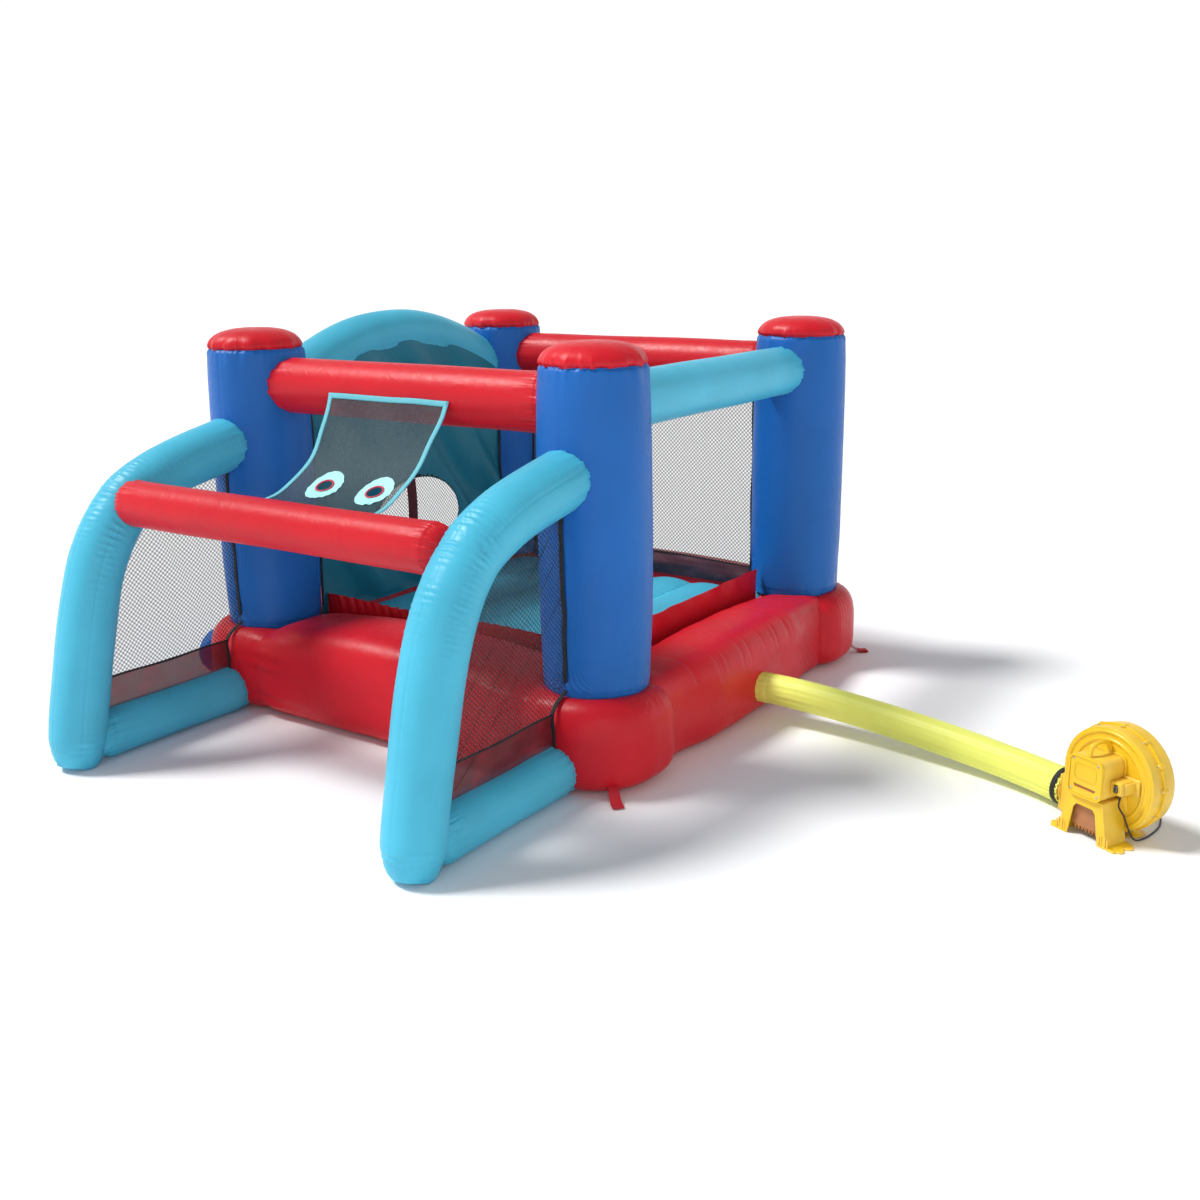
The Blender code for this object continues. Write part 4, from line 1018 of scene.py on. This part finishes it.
def window_edge(t, grow=0.0):
    """The window's edge as y and z, taller above its middle than below."""
    tall = np.where(np.sin(t) > 0, WINDOW_UP, WINDOW_DOWN)
    return WINDOW_Y + (WINDOW_HALF + grow) * np.cos(t), WINDOW_Z + (tall + grow) * np.sin(t)


def left_wall():
    """Teal wall with an oval window: a creased sheet, netting, a binding and a centre strap."""
    t = np.linspace(0, TWO_PI, 420)
    wy, wz = window_edge(t)
    dy, dz = wy - WINDOW_Y, wz - WINDOW_Z
    # by halving: how many times further out than the window's edge the wall's edge lies
    near, far = np.ones_like(t), np.full_like(t, 12.0)
    for _ in range(40):
        mid = (near + far) / 2
        y, z = WINDOW_Y + dy * mid, WINDOW_Z + dz * mid
        inside = (np.abs(y) < WALL_HALF_Y) & (z > FLOOR_TOP - 0.004) & (z < arch_under(y))
        near, far = np.where(inside, mid, near), np.where(inside, far, mid)
    share = np.linspace(0, 1, 110)[:, None]
    k = 1 + (near - 1) * share
    y, z = WINDOW_Y + dy * k, WINDOW_Z + dz * k
    rng = np.random.default_rng(91)
    fold = 0
    for _ in range(7):
        f, skew = 4 + 8 * rng.random(), rng.normal() * 0.5
        fold = fold + np.cos(f * (y * (0.8 + skew) + z * 0.9) * 2 + TWO_PI * rng.random())
    pucker = ridges(t, 93, 54) * 0.0006 * np.exp(-share * 9)
    hold = np.minimum(1, share * 7) * np.minimum(1, (1 - share) * 5 + 0.25)
    x = -PANEL_X + 0.0052 * fold * hold + pucker + 0.002 * np.cos((y * 0.55 + z) * TWO_PI)
    points = xyz(x, y, z)
    trim = ribbon("window_binding", xyz(-PANEL_X + 0.001, *window_edge(t, 0.006)),
                  xyz(0, np.cos(t), np.sin(t)), 0.018, "binding", 0.003)
    sheet("wall_fabric_left", points, "teal", (1.55, 1.36),
          ["arch_beam_fabric", "column_fabric_front_left", "column_fabric_rear_left"],
          flat=side_on(points), area=1.78, trims=[trim], replaces="wall_panel_left")
    share = np.linspace(0.002, 1, 40)[:, None]
    y, z = WINDOW_Y + dy * share, WINDOW_Z + dz * share
    points = xyz(-PANEL_X + 0.002 + crumple(y, z, 96, 0.0025, 0.30) * (1 - share), y, z)
    sheet("window_netting", points, "net", (0.70, 0.395), ["wall_fabric_left"],
          flat=side_on(points), area=0.217, replaces="window_net")
    z = np.linspace(0.592, 0.975, 60)
    line = xyz(-PANEL_X + 0.007, -0.055 + 0.018 * np.sin((z - 0.6) * 7), z)
    ribbon("window_strap", line, (0, 1, 0), 0.070, "hem_strap", 0.002)


def column_front(z):
    """The front of a front column, as y for a height z."""
    radii = [0.214, 0.227, 0.235, 0.237, 0.236]
    return -COL_Y - np.interp(z, [0.42, 0.50, 0.70, 1.05, 1.45], radii)


def back_edge(z):
    """Where a bay net's rear edge lies: down the column, then over the front step."""
    step = BASE_FRONT_Y + 0.092 * clipped((z - 0.33) / 0.09) ** 2.2
    return np.where(z > 0.425, column_front(z), np.minimum(step, column_front(0.42)))


def front_edge(z):
    """Where it lies in front: along the inner side of the side arch."""
    curve = curve_through(BAY_LINE, 200)
    tangent = tangents(curve)
    inner = curve + np.stack([-tangent[:, 1], tangent[:, 0]], axis=1) * (BAY_R - 0.006)
    order = np.argsort(inner[:, 1])
    return np.interp(z, inner[order, 1], inner[order, 0])


def bay_side(side, s):
    """One side of the bay: a net over a thin hem, bound between them and up the column."""
    x0, split, low = s * COL_X, 2 * GROUND_R + 0.136, 2 * GROUND_R - 0.006
    t = np.linspace(0, 1, 110)
    z = np.linspace(split, 1.186, 90)[:, None]
    y = back_edge(z) + (front_edge(z) - back_edge(z)) * t
    slack = np.sin(math.pi * t) * np.minimum(1, (z - split) / 0.1 + 0.3)
    tension = np.sin((y * 1.9 + z) * 22) * 0.0035 + crumple(y, z, 120 + s, 0.0030, 0.35)
    points = xyz(x0 + slack * (0.006 + tension), y, z)
    sheet("bay_netting_" + side, points, "net", (0.92, 0.83),
          ["side_arch_fabric_" + side, "column_fabric_front_" + side], flat=side_on(points),
          area=0.52, replaces="side_net_" + side)
    z = np.linspace(low, split + 0.004, 26)[:, None]
    y = back_edge(z) + (front_edge(z) - back_edge(z)) * t
    fold = np.sin(y * 34 + z * 16) * 0.0035 + np.sin(y * 13 - z * 30) * 0.004
    points = xyz(x0 + fold * np.sin(math.pi * (z - low) / (split - low)), y, z)
    y = np.linspace(float(back_edge(split)), float(front_edge(split)), 80)
    line = xyz(x0, y, split + 0.003 * np.sin(np.linspace(0, 9, 80)))
    trim = ribbon("hem_binding_" + side, line, (0, 0, 1), 0.009, "binding", 0.004)
    sheet("bay_hem_" + side, points, "hem_red", (0.78, 0.145), ["ground_tube_fabric_" + side],
          flat=side_on(points), area=0.107, trims=[trim], replaces="side_hem_" + side)
    z = np.linspace(1.21, 0.205, 150)
    wobble = 0.004 * np.sin(z * 11) + 0.002 * np.sin(z * 27)
    line = xyz(x0 + wobble, back_edge(z) - 0.0035 - 0.0015 * np.sin(z * 40), z)
    ribbon("column_binding_" + side, line, (1, 0, 0), 0.019, "binding", 0.004)


def net_folds():
    """Doubled lines of net that run slanting down the right side of the bay."""
    ends = (((-1.215, 1.05), (-2.005, 0.30)), ((-1.30, 1.10), (-1.99, 0.48)),
            ((-1.214, 0.86), (-1.93, 0.26)))
    u = np.linspace(0, 1, 60)
    for k, ((y0, z0), (y1, z1)) in enumerate(ends):
        line = xyz(COL_X + 0.010 + 0.003 * np.sin(u * 9), y0 + (y1 - y0) * u,
                   z0 + (z1 - z0) * u - 0.02 * np.sin(math.pi * u))
        ribbon(f"net_fold_{k}", line, (0, 0.69, 0.72), 0.007, "binding", 0.002)


def rear_wall():
    """The rear net, its hem in painted shade, and the bindings up the rear columns and the left
    wall.
    """
    low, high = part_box("rear_net")
    xs = np.linspace(low.x - 0.004, high.x + 0.004, 150)
    z = np.linspace(low.z - 0.002, high.z + 0.006, 90)[:, None]
    share = (z - low.z) / (high.z - low.z)
    slack = np.sin(math.pi * (xs - xs[0]) / (xs[-1] - xs[0])) * np.sin(math.pi * share)
    points = xyz(xs, low.y + 0.0015 + slack * crumple(xs, z, 140, 0.0050, 0.35), z)
    sheet("rear_netting", points, "net", (1.50, 0.975), ["beam_rear_fabric"],
          replaces="rear_net")
    hem_low, hem_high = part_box("rear_hem")
    z = np.linspace(hem_low.z, hem_high.z + 0.004, 30)[:, None]
    share = (z - hem_low.z) / (hem_high.z - hem_low.z)
    wave = np.sin(xs * 24 + 3 * share) * 0.004 + np.sin(xs * 9 - 5 * share) * 0.006
    y = hem_low.y + 0.0015 + (wave - 0.010) * np.sin(math.pi * share)
    points = xyz(xs, y, z + 0.010 * np.sin(xs * 4.2 + 1.0) * share)
    trim = ribbon("rear_hem_binding", points[-1] + [0, -0.002, 0], (0, 0, 1), 0.007, "binding",
                  0.004)
    # the hem's dark purple-grey colour is painted shade on red hem cloth
    sheet("rear_hem_fabric", points, "hem_painted_shade", (1.50, 0.119), ["bounce_floor_fabric"],
          trims=[trim], replaces="rear_hem")
    for side, s in SIDES:
        z = np.linspace(1.49, 0.40, 110)
        line = xyz(s * (high.x - 0.006) + 0.003 * np.sin(z * 13), low.y - 0.006, z)
        ribbon("rear_binding_" + side, line, (1, 0, 0), 0.014, "binding", 0.004)
        z = np.linspace(1.50, 0.43, 110)
        line = xyz(-PANEL_X + 0.006, s * 0.752 + 0.003 * np.sin(z * 11), z)
        ribbon("wall_binding_" + side, line, (0, 1, 0), 0.014, "binding", 0.004)


def sills():
    """The low red sheets that close the floor's right and front edges."""
    ys = np.linspace(-SILL_HALF_Y, SILL_HALF_Y, 190)
    z = np.linspace(FLOOR_TOP - 0.02, SILL_TOP, 34)[:, None]
    share = np.maximum(0, (z - FLOOR_TOP) / (SILL_TOP - FLOOR_TOP))
    fold = crumple(ys, z * 0.3, 150, 0.0036, 0.16) + 0.0022 * np.sin(ys * 31 + z * 30)
    sheet("sill_fabric_right", xyz(PANEL_X + fold * share, ys, z), "red", (1.484, 0.177),
          ["base_fabric_right"], replaces="sill_right")
    low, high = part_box("sill_front")
    xs = np.linspace(low.x, high.x, 210)
    z = np.linspace(low.z - 0.01, high.z, 30)[:, None]
    share = np.maximum(0, (z - low.z) / (high.z - low.z))
    rng = np.random.default_rng(151)
    fold = 0
    for _ in range(6):
        f = TWO_PI / (0.035 + 0.05 * rng.random())
        fold = fold + np.cos(f * (xs + 0.25 * z) + TWO_PI * rng.random())
    points = xyz(xs, low.y + 0.0015 + 0.0030 * fold * share, z + 0.006 * np.sin(xs * 6) * share)
    sheet("sill_fabric_front", points, "red", (1.72, 0.121), ["base_fabric_front"],
          replaces="sill_front")


def ball_net():
    """The net hung from the front beam to the crossbar, with two ring targets to throw at."""
    line = curve_through(NET_LINE, 300)
    s = lengths(line)
    tangent = tangents(line)
    whole = float(s[-1])

    def place(x, at, lift=0.0):
        """Points x across and at along the net, lift above it, with the net's own slack."""
        y, z = (np.interp(at, s, line[:, k]) for k in (0, 1))
        ny, nz = -np.interp(at, s, tangent[:, 1]), np.interp(at, s, tangent[:, 0])
        rise = lift + crumple(x, at, 160, 0.0030, 0.32) - 0.006 * np.sin(math.pi * at / whole)
        rise = np.where(nz < 0, -rise, rise)
        return xyz(x, y + ny * rise, z + nz * rise)

    def edges(at):
        """The net's two side edges, drawn in between its corners."""
        share = np.sin(math.pi * at / whole)
        return NET_LEFT + NET_WAIST * share, NET_RIGHT - NET_WAIST * share

    along = np.linspace(0, whole, 130)
    left, right = edges(along[:, None])
    x = left + (right - left) * np.linspace(0, 1, 130)
    points, flat = place(x, along[:, None]), xyz(x, along[:, None], 0)
    trims = []
    for (name, _), edge in zip(SIDES, edges(along)):
        bound = place(edge + 0.004 * np.sin(along * 24), along, 0.001)
        trims.append(ribbon("ball_net_binding_" + name, bound, (1, 0, 0), 0.022, "binding_cyan",
                            0.004))
    top = place(np.linspace(NET_LEFT - 0.005, NET_RIGHT + 0.005, 100), np.full(100, 0.012), 0.002)
    trims.append(ribbon("ball_net_binding_top", top, (0, 0.3, 0.95), 0.024, "binding_cyan", 0.004))
    for k, (cx, cs) in enumerate(TARGETS):
        name = SIDES[k][0]
        t, share = full_turn(120), np.linspace(0, 1, 16)[:, None]
        across, down = (TARGET_HOLE + (reach - TARGET_HOLE) * share
                        for reach in (TARGET_HALF_X, TARGET_HALF_S))
        lift = 0.0030 + ridges(t, 170 + k, 14) * 0.0009 * share
        ring = surface("target_patch_" + name,
                       place(cx + across * np.cos(t), cs + down * np.sin(t),
                             lift + 0.0012 * np.sin(math.pi * share)),
                       "ring", replaces="target_ring_" + name)
        t = np.linspace(0, TWO_PI, 121)
        rim, wider = (place(cx + r * np.cos(t), cs + r * np.sin(t), 0.0045)
                      for r in (TARGET_HOLE + 0.002, TARGET_HOLE + 0.003))
        trims += [ribbon("target_rim_" + name, rim, unit(wider - rim), 0.008, "trim", 0.004), ring]
    sheet("ball_netting", points, "target", (0.68, whole), ["beam_front_fabric", "crossbar_fabric"],
          flat=flat, area=0.455 * whole / 0.73, held="hung", trims=trims, replaces="target_net")


# ---- straps at the corners and round the sleeve --------------------------------------------
def anchor_loops():
    """Webbing loops that come out from under the base's corners and lie folded on the ground."""
    route = np.array([(0.205, 0.040), (0.245, 0.050), (0.285, 0.046), (0.318, 0.026),
                      (0.345, 0.007), (0.372, 0.0035), (0.390, 0.0040), (0.3965, 0.0090),
                      (0.3900, 0.0140), (0.366, 0.0145), (0.335, 0.022), (0.305, 0.045),
                      (0.270, 0.060), (0.215, 0.055)])
    for where, (x, y) in COLUMNS.items():
        sx, sy = math.copysign(1, x), math.copysign(1, y)
        angle = math.radians(45 if "front" in where else 40)
        way = np.array([sx * math.cos(angle), sy * math.sin(angle), 0.0])
        centre = np.array([sx * 1.007, sy * 0.990, 0.0])
        line = curve_through(centre + way * route[:, :1] + [0, 0, 1] * route[:, 1:], 110)
        ribbon("loop_webbing_" + where, line, (-way[1], way[0], 0.0), 0.044, "loop", 0.0020,
               replaces="anchor_loop_" + where)


def strap_band():
    """The strap that holds the sleeve on the outlet collar."""
    t = np.linspace(0, TWO_PI, 90)[:, None]
    radius = half("sleeve_strap", 2) - 0.0015
    line = np.array(middle("sleeve_strap")) + radius * (local_way(0, 1, 0) * np.cos(t)
                                                        + local_way(0, 0, 1) * np.sin(t))
    ribbon("strap_webbing", line, local_way(-1, 0, 0), 0.022, "binding", 0.003,
           replaces="sleeve_strap", slot="black")


# ---- blower: the plain moulded pieces keep their nodes, with softened edges and finishes ----
# each node's look and the width of its softened edges
CARRIED = {"casing_motor_side": ("shell", 0.0060), "casing_inlet_side": ("shell", 0.0060),
           "inlet_grille": ("shell", 0.0010), "outlet_collar": ("shell", 0.0012),
           "motor_housing": ("shell", 0.0014), "motor_end_cover": ("shell", 0.0040),
           "switch_box": ("shell", 0.0012), "blower_stand": ("shell", 0.0035),
           "cord_gland": ("rubber", 0.0), "switch_rocker": ("rocker", 0.0008),
           "fan_wheel": ("inner", 0.0006), "motor_shaft": ("steel", 0.0004),
           "motor_body": ("steel", 0.0010)}
HUB_Z, CASING_R, FLANGE_R = 0.220, 0.205, 0.2065
DUCT_LOW, DUCT_HIGH, DUCT_END = 0.015, 0.165, -0.210
COVER_Z, HANDLE_Z = 0.255, 0.335


def carried_nodes():
    """The blower's moulded pieces: their own nodes, finished and with softened edges."""
    for node, (look, width) in CARRIED.items():
        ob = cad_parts[node]
        ob.data.materials.clear()
        ob.data.materials.append(LOOKS[look][0])
        ob.data.shade_smooth()
        weld = ob.modifiers.new("weld", "WELD")
        weld.merge_threshold = 1e-5
        if width:
            bevel = ob.modifiers.new("edge", "BEVEL")
            bevel.width, bevel.segments = width, 3
            bevel.limit_method, bevel.angle_limit = "ANGLE", math.radians(38)
            bevel.use_clamp_overlap, bevel.harden_normals = True, True


def at_blower(x, y, z, stretch=(1, 1, 1)):
    """The matrix of a piece stretched and then placed in the blower's frame."""
    return BLOWER @ Matrix.Translation((x, y, z)) @ Matrix.Diagonal((*stretch, 1))


def band(name, outline, start, end, lift, round_by=0.0016):
    """A raised band round an outline in the blower's x-z plane, from start to end in y."""
    out = unit(np.roll(outline, -1, axis=0) - np.roll(outline, 1, axis=0))
    slight = round_by * 0.3
    section = [(-0.003, start), (lift - round_by, start), (lift - slight, start + slight),
               (lift, start + round_by), (lift, end - round_by), (lift - slight, end - slight),
               (lift - round_by, end), (-0.003, end), (-0.003, start)]
    rows = [xyz(outline[:, 0] + out[:, 1] * grow, y, outline[:, 1] - out[:, 0] * grow)
            for grow, y in section]
    surface(name, moved(np.array(rows), BLOWER), "shell")


def casing_outline():
    """The split line of the casing: most of a circle, then round the outlet duct."""
    rise = math.asin((HUB_Z - DUCT_HIGH) / CASING_R)
    turn = np.linspace(math.radians(-90), math.radians(180) + rise, 200)
    ring = np.stack([CASING_R * np.cos(turn), HUB_Z + CASING_R * np.sin(turn)], axis=1)
    corners = [ring[-1], (DUCT_END, DUCT_HIGH), (DUCT_END, DUCT_LOW), (0.0, DUCT_LOW)]
    sides = [np.linspace(a, b, count)[1:] for a, b, count in
             zip(corners, corners[1:], (24, 26, 40))]
    return np.vstack([ring, *sides])[:-1]


def round_square(wide, tall, corner, centre, per):
    """A rounded rectangle of half width wide and half height tall about height centre."""
    points = []
    for k, (sx, sz) in enumerate(((1, -1), (1, 1), (-1, 1), (-1, -1))):
        a = np.radians(np.linspace(-90, 0, per) + 90 * k)
        points.append(np.stack([sx * (wide - corner) + corner * np.cos(a),
                                centre + sz * (tall - corner) + corner * np.sin(a)], axis=1))
    return np.vstack(points)


def casing_details():
    """The split flange with its clip bosses and screws, and the rings pressed into both faces."""
    band("casing_flange", casing_outline(), -0.0075, 0.0075, 0.0070)
    edge = [(0.0055, 0.0150), (0.0075, 0.0140), (0.0092, 0.010), (0.0100, 0.006)]
    boss = [(0, -0.0150), *((r, -h) for r, h in edge), *reversed(edge), (0, 0.0150)]
    screw = [(0, -0.0172), (0.0030, -0.0170), (0.0040, -0.0160), (0.0042, -0.0150), (0.0, -0.0148)]
    for i, angle in enumerate((-62, -28, 4, 30, 58, 88, 118, 150)):
        a = math.radians(angle)
        place = at_blower(FLANGE_R * math.cos(a), 0, HUB_Z + FLANGE_R * math.sin(a))
        lathe(f"flange_boss_{i}", boss, place, "shell", 26)
        lathe(f"flange_screw_{i}", screw, place, "steel", 20)
    ridge = [(-0.0085, -0.0010), (-0.0065, 0.0018), (-0.0030, 0.0042), (0, 0.0050),
             (0.0030, 0.0042), (0.0065, 0.0018), (0.0085, -0.0010)]
    for name, r, y, s in (("motor_ring", 0.158, -0.060, -1), ("inlet_ring", 0.098, 0.060, 1),
                          ("rim_ring", 0.188, -0.060, -1), ("inlet_rim_ring", 0.188, 0.060, 1)):
        lathe(name, [(r + dr, y + s * dy) for dr, dy in ridge], at_blower(0, 0, HUB_Z), "shell",
              140)


def cover_details():
    """The motor housing's root, and its end cover's lip, slot and raised panel."""
    band("housing_root", round_square(0.0785, 0.0835, 0.029, COVER_Z, 12), -0.0700, -0.0590, 0.0030)
    band("cover_lip", round_square(0.0735, 0.0785, 0.026, COVER_Z, 12), -0.1935, -0.1790, 0.0035)
    rounded_box("slot_pocket", (-0.052, -0.1840, 0.2035), (0.052, -0.1800, 0.2205), 0.001, "inner")
    band("cover_panel", round_square(0.050, 0.034, 0.018, 0.276, 10), -0.1920, -0.1880, 0.0015,
         0.0012)


def handle():
    """A moulded loop that widens where it joins the housing."""
    line = moved(curve_through([(0, y, HANDLE_Z + rise) for y, rise in (
        (-0.066, -0.004), (-0.068, 0.018), (-0.078, 0.038), (-0.100, 0.0475), (-0.140, 0.0475),
        (-0.162, 0.038), (-0.172, 0.018), (-0.174, -0.004))], 110), BLOWER)
    radius = 0.0088 + 0.0050 * np.abs(np.linspace(-1, 1, 110)) ** 7
    points = sweep(line, radius, 36, local_way(1, 0, 0))[0]
    surface("handle_loop", points, "shell", close=(True, True),
            replaces="carry_handle")


def switch_details():
    """An oval bezel round the rocker, and a stepped terminal box behind it."""
    lathe("switch_bezel", [(0.0180, 0.0030), (0.0180, -0.0010), (0.0190, -0.0026),
                           (0.0212, -0.0030), (0.0228, -0.0018), (0.0236, 0.0004),
                           (0.0236, 0.0030)],
          at_blower(0.101, -0.1400, 0.235, (0.74, 1, 1.08)), "shell", 56)
    rounded_box("terminal_box", (0.1235, -0.122, 0.214), (0.134, -0.064, 0.257), 0.0030, "shell")
    rounded_box("terminal_step", (0.076, -0.0735, 0.206), (0.150, -0.0605, 0.268), 0.0035, "shell")


def stand_details():
    """Flared foot flanges, ribs on the legs, a toothed web inside, a rear leg with its foot."""
    for i, (x, y) in enumerate(((-0.139, -0.147), (-0.139, -0.096), (0.139, -0.147),
                                (0.139, -0.096))):
        lathe(f"foot_flange_{i}", [(0, -0.0056), (0.0200, -0.0056), (0.0225, -0.0046),
                                   (0.0232, -0.0020), (0.0225, 0.0010), (0.0195, 0.0022),
                                   (0.0110, 0.0026), (0.0100, 0.0012), (0, 0.0010)],
              at_blower(x, y, 0.0060, (1.25, 1, 1)), "shell", 44, "Z")
    for i, x in enumerate((-0.118, -0.108, -0.092, -0.082, 0.082, 0.092, 0.108, 0.118)):
        top = 0.060 - 0.018 * abs(abs(x) - 0.100) / 0.02
        rounded_box(f"leg_rib_{i}", (x - 0.0018, -0.1835, 0.010), (x + 0.0018, -0.1775, top),
                    0.0012, "shell")
    rounded_box("stand_web", (-0.064, -0.1600, 0.040), (0.064, -0.1560, 0.150), 0.001, "inner")
    for i in range(7):
        lathe(f"web_tooth_{i}", [(0.0060, 0.004), (0.0056, -0.004), (0.0040, -0.010),
                                 (0.0018, -0.013), (0, -0.0135)],
              at_blower(-0.048 + 0.016 * i, -0.158, 0.040, (1, 0.45, 1)), "inner", 20, "Z")
    leg = moved(curve_through([(0.084, -0.072, 0.190), (0.088, -0.050, 0.120),
                               (0.086, -0.010, 0.050), (0.084, 0.022, 0.010)], 60), BLOWER)
    points = sweep(leg, np.linspace(0.013, 0.017, 60), 32, local_way(1, 0, 0))[0]
    surface("rear_leg", points, "shell", close=(True, True))
    lathe("rear_foot", [(0, -0.0060), (0.0290, -0.0060), (0.0318, -0.0045), (0.0325, -0.0015),
                        (0.0312, 0.0012), (0.0280, 0.0022), (0.0090, 0.0028), (0, 0.0028)],
          at_blower(0.082, 0.030, 0.0065, (0.86, 1.45, 1)), "shell", 56, "Z")


def cover_screws():
    """Four screws in the end cover's face."""
    for i, (x, z) in enumerate(((-0.055, 0.318), (0.055, 0.318), (-0.060, 0.196), (0.060, 0.196))):
        lathe(f"cover_screw_{i}", [(0, -0.0026), (0.0036, -0.0024), (0.0048, -0.0012),
                                   (0.0050, 0.0004), (0, 0.0006)],
              at_blower(x, -0.1900, z), "steel", 24)


# ---- the whole set -------------------------------------------------------------------------
cord()
for number, where in enumerate(COLUMNS):
    column(where, 10 + 20 * number)
    cap(where, 13 + 20 * number)
beams()
arch_beam()
for side, s in SIDES:
    side_arch(side, s)
    ground_tube(side, s)
crossbar()
bolster()
air_sleeve()
end_tube("front", -1, 0.062)
end_tube("rear", 1, 0.028)
for side, s in SIDES:
    side_tube(side, s)
bounce_floor()
left_wall()
for side, s in SIDES:
    bay_side(side, s)
net_folds()
rear_wall()
sills()
ball_net()
anchor_loops()
strap_band()
carried_nodes()
casing_details()
cover_details()
handle()
switch_details()
stand_details()
cover_screws()
